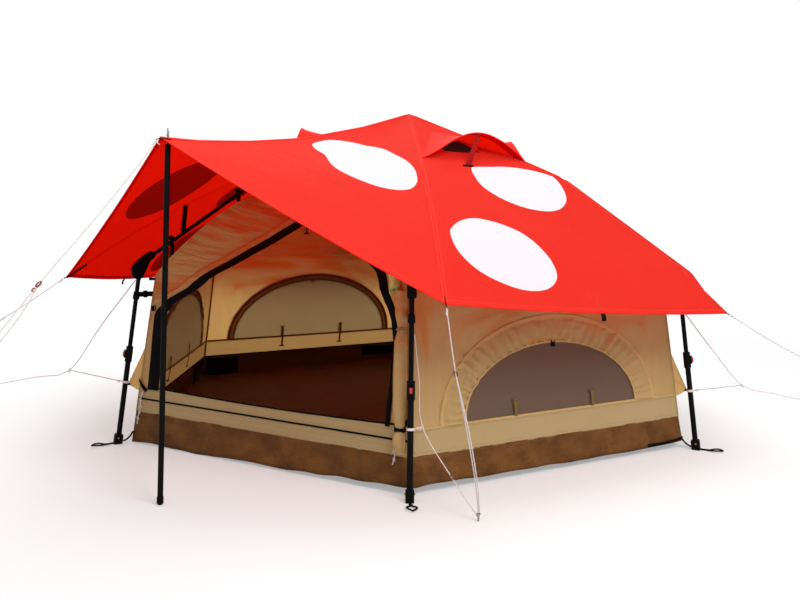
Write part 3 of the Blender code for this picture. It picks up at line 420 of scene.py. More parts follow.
def speckled(name, light, dark, broad, fine, strength, worn=None, depth=0.0002, **surface):
    """Two tones by a broad noise, and a fine noise as relief; each is a scale and a detail. worn is the
    range of its roughness where handling has rubbed it."""
    made, tree, shader = new_material(name, **surface)
    place = add_node(tree, "TexCoord").outputs["Object"]
    tint, grain = (add_node(tree, "TexNoise", Vector=place, Scale=scale, Detail=detail)
                   for scale, detail in (broad, fine))
    plug(shader, Base_Color=blend(tree, tint, light, dark))
    if worn:
        plug(shader, Roughness=add_node(tree, "MapRange", Value=tint, To_Min=worn[0], To_Max=worn[1]))
    relief(shader, strength, depth, grain)
    return made


def moulded(name, light, dark, rough, gloss=0.5):
    """Injection-moulded plastic: an even body colour with the mould's spark-eroded grain."""
    return speckled(name, light, dark, (50.0, 3.0), (1400.0, 2.0), 0.3, Roughness=rough, IOR=1.53,
                    Specular_IOR_Level=gloss)


def plated(name, light, dark, rough):
    """Zinc- or brass-plated steel: bright metal with fine rubbed marks."""
    return speckled(name, light, dark, (240.0, 4.0), (240.0, 4.0), 0.2, Metallic=1.0, Roughness=rough)


def spun_thread(name, code):
    """Spun polyester sewing thread: matt, with plies that catch light. 0.6 mm thread is drawn 1.5 mm thick."""
    return speckled(name, code, code, (900.0, 2.0), (900.0, 2.0), 0.4, depth=0.0003, Roughness=0.7,
                    Sheen_Weight=0.2)


CORD = guy_line_cord()
# Coated polyester taffeta, dyed: flat and smooth, a soft sheen at grazing light. Its 0.3 mm threads are
# drawn 3 mm apart, the finest that shows at the photograph's distance.
FLY_RED = woven("red_polyester_taffeta", "#FF4030", "#FA382A", 3.0, 0.62, 0.03, 0.49, "#FF6448",
                crease=0.0020, spots="#FBF9FF", gloss=0.12)
# The same cloth's back, with its clear coating, its colour painted a darker, deeper red than the front's:
# painted shade of the fly's underside. The white print shows through as a patch painted darker still: painted
# shade where the print keeps back the light that passes the cloth
FLY_BACK_PAINTED_SHADE = woven("red_taffeta_back_painted_shade", "#DC0C07", "#D20A06", 3.0, 0.55, 0.0, 0.49, "#FF5C38",
                 spots="#8A0404", gloss=0.0)
# Breathable poly-cotton of the inner tent: matt khaki with a dry hand; towards its top its colour is painted
# with the fly's warm light, in streaks: painted light
WALL_KHAKI = woven("khaki_breathable_cloth", "#E6D29E", "#DCC68E", 2.4, 0.85, 0.05, 0.5, "#FFE8B8",
                   crease=0.0055, painted_warm_light=(0.62, 1.09, "#EAB868", 1.35))
# Painted light: the same cloth at the roof, its colour painted lighter and greener so that under the fly's red
# light, which falls on it, it shows as the lit khaki does, and painted warmer towards the peak with that light
ROOF_KHAKI_PAINTED_LIGHT = woven("khaki_roof_cloth_painted_light", "#F4FFC6", "#F2F8B0", 2.4, 0.85, 0.05, 0.60, "#F4FFD2",
                   crease=0.0055, painted_warm_light=(1.00, 1.50, "#F8DC76", 1.9))
# Plain khaki poly-cotton of the bands below the windows and the door
BAND_KHAKI = woven("khaki_band_cloth", "#D6C292", "#CCB684", 2.4, 0.85, 0.05, 0.3, "#FFE8B8")
# Folded cotton tapes, one over the outer seams and one over the inner ones
BINDING_TAN = woven("tan_binding_tape", "#D6B478", "#CAA86A", 2.0, 0.8, 0.1)
INNER_TAPE = woven("brown_inner_tape", "#A0622E", "#8C5224", 2.0, 0.8, 0.1)
# Heavier oxford cloth with a polyurethane coat: brown, slightly shiny; its 1 mm basket weave is drawn 4 mm
# apart
# painted shade: the strong mottle of darker brown stands in for the shade in the wrinkles of its sides
TUB_BROWN = woven("brown_coated_oxford", "#82541F", "#5E3812", 4.0, 0.55, 0.05, crease=0.0100,
                  blotch=(8.0, 0.30, 0.72))
TUB_INSIDE = woven("dark_coated_groundsheet", "#74481E", "#5C3814", 4.0, 0.6, 0.05, 0.12, "#D09050",
                   crease=0.0040)
# Knitted polyester nets: brown at the windows, black at the vents and the pockets
WINDOW_NET = net("brown_window_net", "#807165", 4.0, 0.80, "#F0D8A8")
VENT_NET = net("black_vent_net", "#0E0D0B", 4.0, 0.92)
POCKET_NET = net("black_pocket_net", "#141110", 6.0, 0.75)
# Nylon webbing and tapes, and the black oxford of the elbows' covers, whose weave reads as ribs
BLACK_WEBBING = webbing("black_nylon_webbing", "#100F0F", "#050505")
ZIP_BLACK = webbing("black_coil_zip_tape", "#121111", "#060606", 4.0)
RED_STRAP = webbing("dark_red_vent_strap", "#A8100C", "#930D09")
TOGGLE_OLIVE = webbing("olive_toggle_tape", "#8A7448", "#76623C")
TAN_STRAP = webbing("tan_toggle_tape", "#A88A5C", "#94774C")
COVER_BLACK = webbing("black_oxford_cover_cloth", "#0F0E0E", "#060606", 4.0)
# Powder-coated steel tube: black, satin and rubbed in spots; its orange peel is 1.2 mm from crest to crest
TUBE_BLACK = speckled("black_powder_coated_steel", "#050505", "#0E0D0D", (35.0, 5.0), (800.0, 2.0), 0.15,
                      worn=(0.30, 0.5), Roughness=0.42, IOR=1.5, Specular_IOR_Level=0.12)
# Glass-filled nylon of the fittings, acetal of the buttons, and the runners' plastic
NYLON_BLACK = moulded("black_glass_filled_nylon", "#0D0C0C", "#060606", 0.5, 0.12)
BUTTON_RED = moulded("red_orange_acetal", "#E8452F", "#D63C28", 0.35)
RUNNER_RED = moulded("red_brown_runner_plastic", "#9C4A3C", "#84392E", 0.4)
# Plated steel of the peg, rings and spike, and brass-coloured pins at the feet
STEEL = plated("zinc_plated_steel", "#C9CBCC", "#A9ABAD", 0.32)
BRASS = plated("brass_plated_steel", "#C9A25A", "#A98443", 0.3)
# Spun polyester threads: faded red on the fly, golden and olive on the inner tent
RED_THREAD = spun_thread("faded_red_spun_thread", "#E08078")
GOLD_THREAD = spun_thread("golden_spun_thread", "#E6C67E")
OLIVE_THREAD = spun_thread("olive_spun_thread", "#7F8058")

for name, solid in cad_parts.items():
    look = NYLON_BLACK
    if name.startswith(("roof_pole", "leg_upper", "leg_lower", "porch_pole")):
        look = TUBE_BLACK
    elif name.startswith("lock_button"):
        look = BUTTON_RED
    elif name == "guy_peg":
        look = STEEL
    for place in solid.material_slots:
        place.material = look


# ---------------------------------------------------------------- pieces

def fit(piece, body="tent_base", replaced=None):
    """Puts a piece on its body and hides the parts it replaces; a piece on the ground gets a mesh of its own.
    """
    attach(piece, body)
    if replaced is not None:
        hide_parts(*replaced)
    if body == "tent_base":
        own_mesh(piece)
    return piece


def settle(piece):
    """Applies a piece's modifiers, so that its plain mesh is what rides."""
    depsgraph = bpy.context.evaluated_depsgraph_get()
    mesh = bpy.data.meshes.new_from_object(piece.evaluated_get(depsgraph), preserve_all_data_layers=True,
                                           depsgraph=depsgraph)
    piece.modifiers.clear()
    piece.data = mesh
    mesh.shade_smooth()


def thicken(piece, thickness=CLOTH):
    """Gives an open sheet its thickness inwards; the second look, if any, is its inner face."""
    wall = piece.modifiers.new("thickness", "SOLIDIFY")
    wall.thickness, wall.offset, wall.use_even_offset = thickness, -1.0, False
    wall.material_offset = len(piece.data.materials) - 1
    settle(piece)


def no_spot(place):
    return -1.0


def mark_spots(piece, depth=no_spot):
    """Writes how deep each point lies inside a printed spot, which the fly's look reads."""
    values = [depth(v.co) for v in piece.data.vertices]
    piece.data.attributes.new("spot", "FLOAT", "POINT").data.foreach_set("value", values)


def cloth(shape, name, looks, body="tent_base", toward="out", thickness=CLOTH, spots=None, replaced=None):
    """An open sheet whose faces look out from the tent's axis, or up, given its thickness inwards."""
    piece = shape.make(name, looks, smooth=0, weld=0.0004)
    total = 0.0
    for polygon in piece.data.polygons:
        way = Vector((polygon.center.x, polygon.center.y, 0.0)) if toward == "out" else UP
        total += polygon.area * polygon.normal.dot(way)
    if total < 0:
        piece.data.flip_normals()
    if spots:
        mark_spots(piece, spots)
    thicken(piece, thickness)
    piece.data.set_sharp_from_angle(angle=radians(50))
    return fit(piece, body, replaced=replaced)


def outward(mesh):
    rework(mesh, lambda bm: bmesh.ops.recalc_face_normals(bm, faces=bm.faces))


def finish(shape, name, looks, body="tent_base", spots=None, smooth=40):
    """A closed detail with its normals set right, on its body."""
    piece = shape.make(name, looks, smooth, weld=0.00002)
    outward(piece.data)
    if spots:
        mark_spots(piece, spots)
    return fit(piece, body)


def lay_cord(name, points, keep=None, replaced=None, step=0.05, radius=LINE_RADIUS):
    """A cord along its route."""
    route = smooth_route(points, step)
    shape = Shape()
    shape.tube(route, radius)
    keep = keep or settled(max(p.z for p in route))
    piece = fit(shape.make(name, CORD, smooth=60), replaced=replaced)
    return route


def stitch_tree():
    """Beads of thread set end to end along lines: pitch, length and thickness are its named inputs."""
    tree = bpy.data.node_groups.new("stitch_line", "GeometryNodeTree")
    sockets = (("Line", "INPUT", "Geometry"), ("Pitch", "INPUT", "Float"), ("Length", "INPUT", "Float"),
               ("Thickness", "INPUT", "Float"), ("Finish", "INPUT", "Material"),
               ("Stitches", "OUTPUT", "Geometry"))
    for key, way, sort in sockets:
        tree.interface.new_socket(key, in_out=way, socket_type="NodeSocket" + sort)
    enter = add_node(tree, "NodeGroupInput").outputs
    line = add_node(tree, "GeometryNodeMeshToCurve", Mesh=enter["Line"])
    spots = add_node(tree, "GeometryNodeCurveToPoints", {"mode": "LENGTH"}, Curve=line, Length=enter["Pitch"])
    size = add_node(tree, "CombineXYZ", X=enter["Thickness"], Y=enter["Thickness"], Z=enter["Length"])
    bead = add_node(tree, "GeometryNodeMeshIcoSphere", Radius=0.5, Subdivisions=1)
    placed = add_node(tree, "GeometryNodeInstanceOnPoints", Points=spots, Instance=bead, Scale=size,
                      Rotation=spots.outputs["Rotation"])
    real = add_node(tree, "GeometryNodeRealizeInstances", Geometry=placed)
    shown = add_node(tree, "GeometryNodeSetMaterial", Geometry=real, Material=enter["Finish"])
    add_node(tree, "NodeGroupOutput", i0=shown)
    return tree


STITCH_TREE = stitch_tree()


def stitches(name, lines, thread, pitch, body="tent_base"):
    """Sewn lines along the given routes, as one plain mesh."""
    mesh = bpy.data.meshes.new(name)
    points, edges = [], []
    for line in lines:
        edges += [(len(points) + k, len(points) + k + 1) for k in range(len(line) - 1)]
        points += [tuple(p) for p in line]
    mesh.from_pydata(points, edges, [])
    piece = add_object(name, mesh)
    sewn = piece.modifiers.new("stitches", "NODES")
    sewn.node_group = STITCH_TREE
    values = {"Pitch": pitch, "Length": 0.008, "Thickness": 0.0015, "Finish": thread}
    for item in STITCH_TREE.interface.items_tree:
        if item.name in values:
            sewn[item.identifier] = values[item.name]
    settle(piece)
    fit(piece, body)


# ---------------------------------------------------------------- camera

CAMERA_PLACE = Vector((2.8112, -5.0126, 1.3362))
CAMERA_YAW, CAMERA_PITCH, CAMERA_ROLL = radians(-29.7421), radians(-6.1794), radians(0.6604)
FOCAL_PIXELS, PICTURE_PIXELS, SENSOR = 893.25, 800, 36.0


def add_camera():
    """The camera at the photograph's place, with its field of view."""
    flat = cos(CAMERA_PITCH)
    forward = Vector((sin(CAMERA_YAW) * flat, cos(CAMERA_YAW) * flat, sin(CAMERA_PITCH)))
    right = forward.cross(UP).normalized()
    up = right.cross(forward)
    c, s = cos(CAMERA_ROLL), sin(CAMERA_ROLL)
    data = bpy.data.cameras.new("camera")
    data.sensor_width = SENSOR
    data.lens = FOCAL_PIXELS / PICTURE_PIXELS * SENSOR
    data.clip_end = 100.0
    camera = add_object("camera", data)
    turn = Matrix((c * right + s * up, c * up - s * right, -forward)).transposed()
    camera.matrix_world = Matrix.Translation(CAMERA_PLACE) @ turn.to_4x4()
    bpy.context.scene.camera = camera


add_camera()

# ---------------------------------------------------------------- guy lines

# each fly line's corner and route
FLY_GUYS = {
    "guy_tip": ("tip", [(0.0, -2.480, 1.310), (0.0, -2.806, 1.021), (0.0, -3.020, 0.820)]),
    "guy_front_left_fly": ("front_left", [(-1.145, -1.928, 0.824), (-1.207, -2.090, 0.721)]),
    "guy_front_right_fly": ("front_right", [
        (1.197, -1.713, 0.632), (1.240, -1.689, 0.400), (1.277, -1.666, 0.160),
        (PEG.x - 0.001, PEG.y, PEG.z + 0.0006)]),
    "guy_right_fly": ("right", [(2.180, -0.100, 0.670), (2.343, -0.065, 0.582), (2.400, -0.052, 0.552)])}
# each leg line's leg, the heights of its loop and of its branch's hitch, and its route
LEG_GUYS = {
    "guy_front_left_leg": ("front_left", 0.900, 0.342, [
        (-0.960, -1.663, 0.661), (-1.044, -1.808, 0.432), (-1.130, -1.957, 0.409), (-1.240, -2.148, 0.384)]),
    "guy_front_right_leg": ("front_right", 0.745, 0.322, [
        (0.918, -1.516, 0.540), (0.940, -1.520, 0.331), (1.130, -1.595, 0.145),
        (PEG.x - 0.00555, PEG.y + 0.00227, 0.018)]),
    "guy_right_leg": ("right", 0.750, 0.326, [
        (1.910, 0.0, 0.560), (2.068, 0.0, 0.386), (2.220, 0.0, 0.360), (2.414, 0.0, 0.337)]),
    "guy_left_leg": ("left", 0.750, 0.326, [(-1.950, 0.0, 0.560), (-2.150, 0.0, 0.390)]),
    "guy_back_right_leg": ("back_right", 0.750, 0.326, [(0.960, 1.663, 0.560), (1.060, 1.836, 0.390)])}
# the least that a line keeps of its height: it lies on the ground
FLAT = 0.02


def settled(top):
    """How much of its height a line keeps when its top comes down with the hub."""
    return max(FLAT, (top - HUB_DROP) / top)


def leg_place(chain, height):
    """A point on a leg's axis at this height."""
    return TURNS[chain] @ Vector((LEG_TOP.x + (LEG_TOP.z - height) / tan(LEG_SLOPE), 0, height))


def leg_side(chain, height, tube_radius, toward):
    """Where a line ends just clear of a leg's tube, on the side it comes from."""
    centre = leg_place(chain, height)
    run = TURNS[chain] @ Vector((cos(LEG_SLOPE), 0, -sin(LEG_SLOPE)))
    way = (Vector(toward) - centre).normalized()
    out = (way - run * way.dot(run)).normalized()
    tilt = LINE_RADIUS * max(0.0, 1 - way.dot(out) ** 2) ** 0.5
    return centre + out * (tube_radius + tilt + 0.0003)


for name, (corner, route) in FLY_GUYS.items():
    place = FLY_CORNERS[corner]
    start = place + (Vector(route[0]) - place).normalized() * TAB_REACH
    lay_cord(name + "_cord", [start] + route, replaced=[name])
for name, (chain, high, low, route) in LEG_GUYS.items():
    lay_cord(name + "_cord", [leg_side(chain, high, INNER_TUBE, route[0])] + route,
             FLAT, [name])
    lay_cord(name + "_branch_cord", [route[1], leg_side(chain, low, OUTER_TUBE, route[1])], FLAT, [])

# ---------------------------------------------------------------- the fly

FLY_PEAK = 1.8997
FLY_RIB = ((0.515, 1.7052), (1.030, 1.4997), (1.385, 1.2545), (1.740, 1.0130))
PORCH_RIDGE = ((0.550, 1.7747), (1.140, 1.6717), (1.570, 1.6277), (1.930, 1.6067))
PORCH_RIB_CROWN, PANEL_SAG = 0.038, 0.018
ROWS_A_PART, PANEL_COLUMNS = 12, 32
SIDE_PANELS = {330: ("front_right", "right"), 30: ("right", "back_right"), 90: ("back_right", "back_left"),
               150: ("back_left", "left"), 210: ("left", "front_left")}
PORCH_PANELS = {255: ("front_left", "ridge"), 285: ("ridge", "front_right")}
PANELS = {**SIDE_PANELS, **PORCH_PANELS}
VENT_ROWS, VENT_COLUMNS = (11, 15), (10, 24)
# where the fly lies on a roof pole: from this far out, this far aside, over the pole's axis, and falling away
# beside it and past the elbow; fly and pole shape run into each other over DRAPE_SOFT
DRAPE_START, DRAPE_ASIDE, DRAPE_OVER = 0.3, 0.4, 0.0246
DRAPE_FALL, DRAPE_ROUND, DRAPE_SOFT = 0.62, 0.03, 0.016
UPPER_SLOPE, ELBOW_FALL, ELBOW_START = 0.356, 0.6, 1.77


def eased_line(points):
    """A line through the points, between straight and smooth, with the same number of points a part."""
    return [b.lerp(c, part / ROWS_A_PART).lerp(curve(a, b, c, d, part / ROWS_A_PART), 0.25)
            for a, b, c, d in spans(points) for part in range(ROWS_A_PART)] + [Vector(points[-1])]


def fly_lines():
    """The ribs and the porch's ridge, each from the peak to its corner."""
    lines = {}
    for chain in CHAINS:
        corner = FLY_CORNERS[chain]
        turn = atan2(corner.y, corner.x)
        rib = [Vector((r * cos(turn), r * sin(turn), z)) for r, z in FLY_RIB]
        if chain.startswith("front"):
            rib[2:] = [rib[1].lerp(corner, share) + UP * PORCH_RIB_CROWN for share in (1 / 3, 2 / 3)]
        lines[chain] = eased_line([(0, 0, FLY_PEAK)] + rib + [corner])
    lines["ridge"] = eased_line([(0, 0, FLY_PEAK)] + [(0, -out, z) for out, z in PORCH_RIDGE] + [PORCH_TIP])
    return lines


FLY_LINES = fly_lines()
LAST_ROW = len(FLY_LINES["ridge"]) - 1


def fly_place(left, right, row, share, up=0.0):
    """A point of the fly: row counts from the peak, share runs from one rib to the other. It drapes over the
    poles where they stand clear of its ribs."""
    low = min(int(row), LAST_ROW - 1)
    a, b = (FLY_LINES[rib][low].lerp(FLY_LINES[rib][low + 1], row - low) for rib in (left, right))
    place = a.lerp(b, share)
    middle, drawn = 4 * share * (1 - share), min(1.0, row / ROWS_A_PART)
    place.z -= PANEL_SAG * middle * drawn
    # slack between the ribs: long shallow waves down the slope and a few pulled creases
    wave = 0.0035 * ripple((place.x, place.y, 0), 0.33, 2.0)
    wave += 0.0018 * ripple((atan2(place.y, place.x) * 4, row * 0.02, 0), 0.35, 5.0)
    place.z += wave * middle * drawn * min(1.0, (LAST_ROW - row) / 6 + 0.25)
    for degrees in CHAINS.values():
        turn = radians(degrees)
        run = cos(turn) * place.x + sin(turn) * place.y
        aside = abs(-sin(turn) * place.x + cos(turn) * place.y)
        if run >= DRAPE_START and aside <= DRAPE_ASIDE:
            slope = tan(POLE_SLOPE) if run > KNEE.x else UPPER_SLOPE
            tent = KNEE.z - (run - KNEE.x) * slope + DRAPE_OVER - ELBOW_FALL * max(0.0, run - ELBOW_START)
            tent -= DRAPE_FALL * (hypot(aside, DRAPE_ROUND) - DRAPE_ROUND)
            near = max(0.0, DRAPE_SOFT - abs(place.z - tent))
            place.z = max(place.z, tent) + near * near / (4 * DRAPE_SOFT)
    place.z += up
    return place


# White spots, in millimetres along the panel and out from the hub's axis, as read from the photograph
UPPER_SPOT = ((-80, 815), (-45, 790), (60, 782), (179, 783), (270, 812), (348, 857), (398, 901), (418, 945),
              (407, 1028), (367, 1098), (298, 1151), (233, 1180), (143, 1195), (60, 1190), (-14, 1168),
              (-82, 1127), (-130, 1060), (-143, 990), (-120, 895))
LOWER_SPOT = ((-638, 1459), (-592, 1410), (-501, 1351), (-400, 1320), (-290, 1328), (-220, 1357), (-164, 1395),
              (-130, 1460), (-120, 1555), (-142, 1637), (-193, 1690), (-271, 1731), (-364, 1750), (-457, 1747),
              (-540, 1722), (-610, 1685), (-655, 1630), (-670, 1555))
PORCH_SPOTS = (
    ((67, 1152), (54, 1064), (57, 982), (83, 905), (125, 840), (176, 795), (210, 752), (255, 735), (335, 752),
     (425, 785), (508, 850), (574, 935), (615, 1010), (635, 1085), (632, 1141), (610, 1195), (562, 1250),
     (502, 1285), (430, 1305), (352, 1312), (288, 1290), (225, 1240), (180, 1200), (120, 1195)),
    ((-532, 1873), (-471, 1913), (-390, 1926), (-313, 1904), (-250, 1860), (-195, 1800), (-155, 1720),
     (-155, 1630), (-200, 1540), (-294, 1466), (-400, 1436), (-498, 1434), (-570, 1455), (-630, 1490),
     (-660, 1560), (-655, 1640), (-639, 1712), (-595, 1805)))


def outline_loop(spot):
    """A closed smooth outline through read-off points, in metres."""
    points = [Vector((x / 1000, y / 1000, 0)) for x, y in spot]
    around = [points[k:] + points[:k] for k in (-1, 0, 1, 2)]
    return [curve(*four, part / 5) for four in zip(*around) for part in range(5)]


# every side panel is cut and printed alike
SPOT_LOOPS = {angle: [[(p.x, p.y) for p in outline_loop(spot)] for spot in (UPPER_SPOT, LOWER_SPOT)]
              for angle in SIDE_PANELS}
SPOT_LOOPS[270] = [[(p.x, p.y) for p in outline_loop(spot)] for spot in PORCH_SPOTS]


def spot_depth(x, y, loop):
    """How far a point lies inside an outline, negative outside."""
    inside, nearest = False, 1e9
    for (ax, ay), (bx, by) in zip(loop, loop[1:] + loop[:1]):
        dx, dy = bx - ax, by - ay
        if (ay > y) != (by > y) and x < dx * (y - ay) / dy + ax:
            inside = not inside
        t = max(0.0, min(1.0, ((x - ax) * dx + (y - ay) * dy) / max(dx * dx + dy * dy, 1e-12)))
        nearest = min(nearest, hypot(x - ax - t * dx, y - ay - t * dy))
    return nearest if inside else -nearest


def spot_field(place):
    """The nearest spot's depth at a point of the fly, in metres."""
    turn = (atan2(place.y, place.x) * 180 / pi) % 360
    best = -1.0
    for angle, loops in SPOT_LOOPS.items():
        if min(abs(turn - angle), 360 - abs(turn - angle)) <= 42:
            a = radians(angle)
            along, out = cos(a) * place.y - sin(a) * place.x, cos(a) * place.x + sin(a) * place.y
            best = max([best] + [spot_depth(along, out, loop) for loop in loops])
    return best


def fly():
    """One continuous sheet: seven panels that meet at the ribs and the porch's ridge."""
    shape = Shape()
    for angle, (left, right) in PANELS.items():
        rows = rows_of(lambda row, share: fly_place(left, right, row, share), range(LAST_ROW + 1),
                       even(PANEL_COLUMNS))
        maps = [[((share - 0.5) * (row[-1] - row[0]).length, hypot(row[0].x, row[0].y) * 1.15)
                 for share in even(PANEL_COLUMNS)] for row in rows]
        (r0, r1), (c0, c1) = VENT_ROWS, VENT_COLUMNS
        parts = [(0, r0, 0, PANEL_COLUMNS), (r0, r1, 0, c0), (r0, r1, c1, PANEL_COLUMNS),
                 (r1, LAST_ROW, 0, PANEL_COLUMNS)]
        for top, foot, first, last in [(0, LAST_ROW, 0, PANEL_COLUMNS)] if angle in PORCH_PANELS else parts:
            shape.grid([row[first:last + 1] for row in rows[top:foot + 1]],
                       maps=[row[first:last + 1] for row in maps[top:foot + 1]])
    piece = cloth(shape, "fly_cloth", [FLY_RED, FLY_BACK_PAINTED_SHADE], "hub", "up", spots=spot_field, replaced=["fly"])


fly()

HOOD_HALF, HOOD_BACK, HOOD_MOUTH = 0.400, 0.260, 0.700
# how far each hood is propped up, and how far it sits aside
HOODS = {330: (0.150, 0.010), 30: (0.140, 0.0), 90: (0.155, 0.0), 150: (0.155, 0.0), 210: (0.200, 0.0)}


def over_panel(angle, out, across, up=0.0):
    """A point over a side panel, out from the hub's axis and across from the panel's middle."""
    share = 0.5 + across / (2 * out * tan(radians(30)))
    row = out / ACROSS / FLY_RIB[0][0] * ROWS_A_PART
    return fly_place(*SIDE_PANELS[angle], row, min(1.0, max(0.0, share)), up)


def vent(angle, lift, shift):
    """A stiffened hood of fly cloth over a net patch, held open by a strap."""
    panel, name = SIDE_PANELS[angle], f"vent_{angle}"
    turn = Matrix.Rotation(radians(angle), 3, "Z")

    def arch(size, share):
        swell = sin(pi * share ** 1.22)
        out = HOOD_BACK + (HOOD_MOUTH - HOOD_BACK - 0.045 * size * swell) * size
        return over_panel(angle, out, (shift + HOOD_HALF * (2 * share - 1)) * size,
                          0.0015 + lift * size * (0.55 + 0.45 * size) * swell)
    rows = rows_of(arch, even(16, 0.02, 1.0), even(28))
    mouth = rows[-1]
    hood, facing, rim, patch, prop, bar = (Shape() for _ in range(6))
    hood.grid(rows)
    piece = cloth(hood, name + "_hood", [FLY_RED, FLY_BACK_PAINTED_SHADE], "hub", "up", spots=no_spot)
    # the mouth's hem is folded in 50 mm deep round a stiff cord
    facing.grid([[p - UP * 0.0020 for p in row] for row in rows[:-4:-1]])
    cloth(facing, name + "_facing", [FLY_BACK_PAINTED_SHADE], "hub", "up", 0.001, spots=no_spot)
    rim.tube(mouth, 0.0035)
    mark_spots(fit(rim.make(name + "_rim", FLY_RED), "hub"))
    # black net over the opening
    patch.grid(rows_of(lambda row, column: fly_place(*panel, row, column / PANEL_COLUMNS, -0.002),
                       even(8, *VENT_ROWS), even(16, *VENT_COLUMNS)))
    cloth(patch, name + "_net", [VENT_NET], "hub", "up", 0.0005)
    # the strap that props the hood up, with a black bar at its foot
    high = mouth[16] + turn @ Vector((-0.006, 0, -0.004))
    low = over_panel(angle, 0.755, shift - 0.100, 0.004)
    middle = high.lerp(low, 0.5) + turn @ Vector((0.006, 0, 0))
    prop.strap(smooth_route([high, middle, low], 0.01), 0.030, 0.002, turn @ Vector((0, 1, 0)))
    fit(prop.make(name + "_prop", RED_STRAP), "hub")
    bar.box(((-0.006, -0.034, -0.004), (0.008, 0.034, 0.004)), posed(low, angle, 0.42), 0.002)
    fit(bar.make(name + "_bar", NYLON_BLACK), "hub")


for angle, (lift, shift) in HOODS.items():
    vent(angle, lift, shift)

# ---------------------------------------------------------------- the inner tent

BASE_RADIUS, EAVE_RADIUS = 1.7699, 1.6199
WALL_LEAN = 0.150 / EAVE
RIM, WINDOW_BASE, DOOR_SILL = 0.175, 0.297, 0.315
DOOR_HALF = 0.800
# half width and height of the window, and of its net inside the gathered flap
WINDOW, NET_PANE = (0.685, 0.474), (0.550, 0.345)
# the flaps of the two windows seen from inside are drawn further open
WIDE_PANE = (0.640, 0.430)
# where each window's two toggles are, along its wall
TOGGLES = (-0.25, 0.25)
WINDOW_WALLS = {330: "wall_front_right", 30: "wall_back_right", 90: "wall_back", 150: "wall_back_left",
                210: "wall_front_left"}
FRONT = 270


def half_width(height):
    return (BASE_RADIUS - WALL_LEAN * height) / 2


def across_wall(height, count=40, share=1.0):
    """Places from one end of a wall to the other at a height."""
    return [half_width(height) * x * share for x in even(count, -1, 1)]


def ways(angle):
    """The directions out and sideways at an angle round the tent."""
    turn = radians(angle)
    return Vector((cos(turn), sin(turn), 0)), Vector((-sin(turn), cos(turn), 0))


def slack(angle, along, height):
    """How far a wall bellies in from its plane, with the creases its guys pull into it."""
    across = 1 - (along / half_width(height)) ** 2
    up = sin(pi * min(1.0, max(0.0, (height - RIM) / (EAVE - RIM))))
    crease = 0.0035 * ripple((along + 1.3 * height, 0.35 * height - 0.2 * along, angle), 0.14, 1.0 + angle)
    crease += 0.002 * ripple((along - 0.9 * height, 0.3 * height, angle), 0.07, 2.0 + angle)
    for corner in (-1, 1):
        # pulled from the upper corners, where the guys hold the wall
        run, drop = corner * (0.84 - corner * along), 1.02 - height
        reach = hypot(run, drop)
        spread = max(0.0, min(1.0, (0.95 - reach) / 0.4)) * min(1.0, reach / 0.15)
        fan = (atan2(drop, abs(run)) * 5.0, 0.25 * reach, angle + corner)
        crease += 0.019 * spread * ripple(fan, 0.30, 5.0)
    return -0.010 * across * up + crease * max(0.0, across) ** 0.5 * (0.35 + 0.65 * up)


def wall_place(angle, along, height, proud=0.0):
    """A point on a wall of the inner tent, or proud of it."""
    out, side = ways(angle)
    normal = (out + UP * (ACROSS * WALL_LEAN)).normalized()
    return (out * (ACROSS * (BASE_RADIUS - WALL_LEAN * height)) + side * along + UP * height
            + normal * (proud + slack(angle, along, height)))


def arch_place(size, turn):
    return size[0] * cos(turn), WINDOW_BASE + size[1] * sin(turn)


def arch_line(angle, size, grow, proud, count=60):
    """A line on a wall along an arch that is grown by so much."""
    size = size[0] + grow, size[1] + grow
    return [wall_place(angle, *arch_place(size, turn), proud) for turn in even(count, 0.0, pi)]


def arch_strap(shape, angle, size, grow, proud, width, thick):
    points, centre = arch_line(angle, size, grow, proud), wall_place(angle, 0, WINDOW_BASE)
    shape.strap(points, width, thick, [p - centre for p in points])


def frame_place(turn):
    """The point of a wall's own outline that an arch's point looks at."""
    corner = 0.62
    if corner <= turn <= pi - corner:
        return half_width(EAVE) * (1 - 2 * (turn - corner) / (pi - 2 * corner)), EAVE
    way, near = (1, turn) if turn < corner else (-1, pi - turn)
    height = WINDOW_BASE + (EAVE - WINDOW_BASE) * near / corner
    return way * half_width(height), height


def pane_size(angle):
    return WIDE_PANE if angle in (150, 210) else NET_PANE


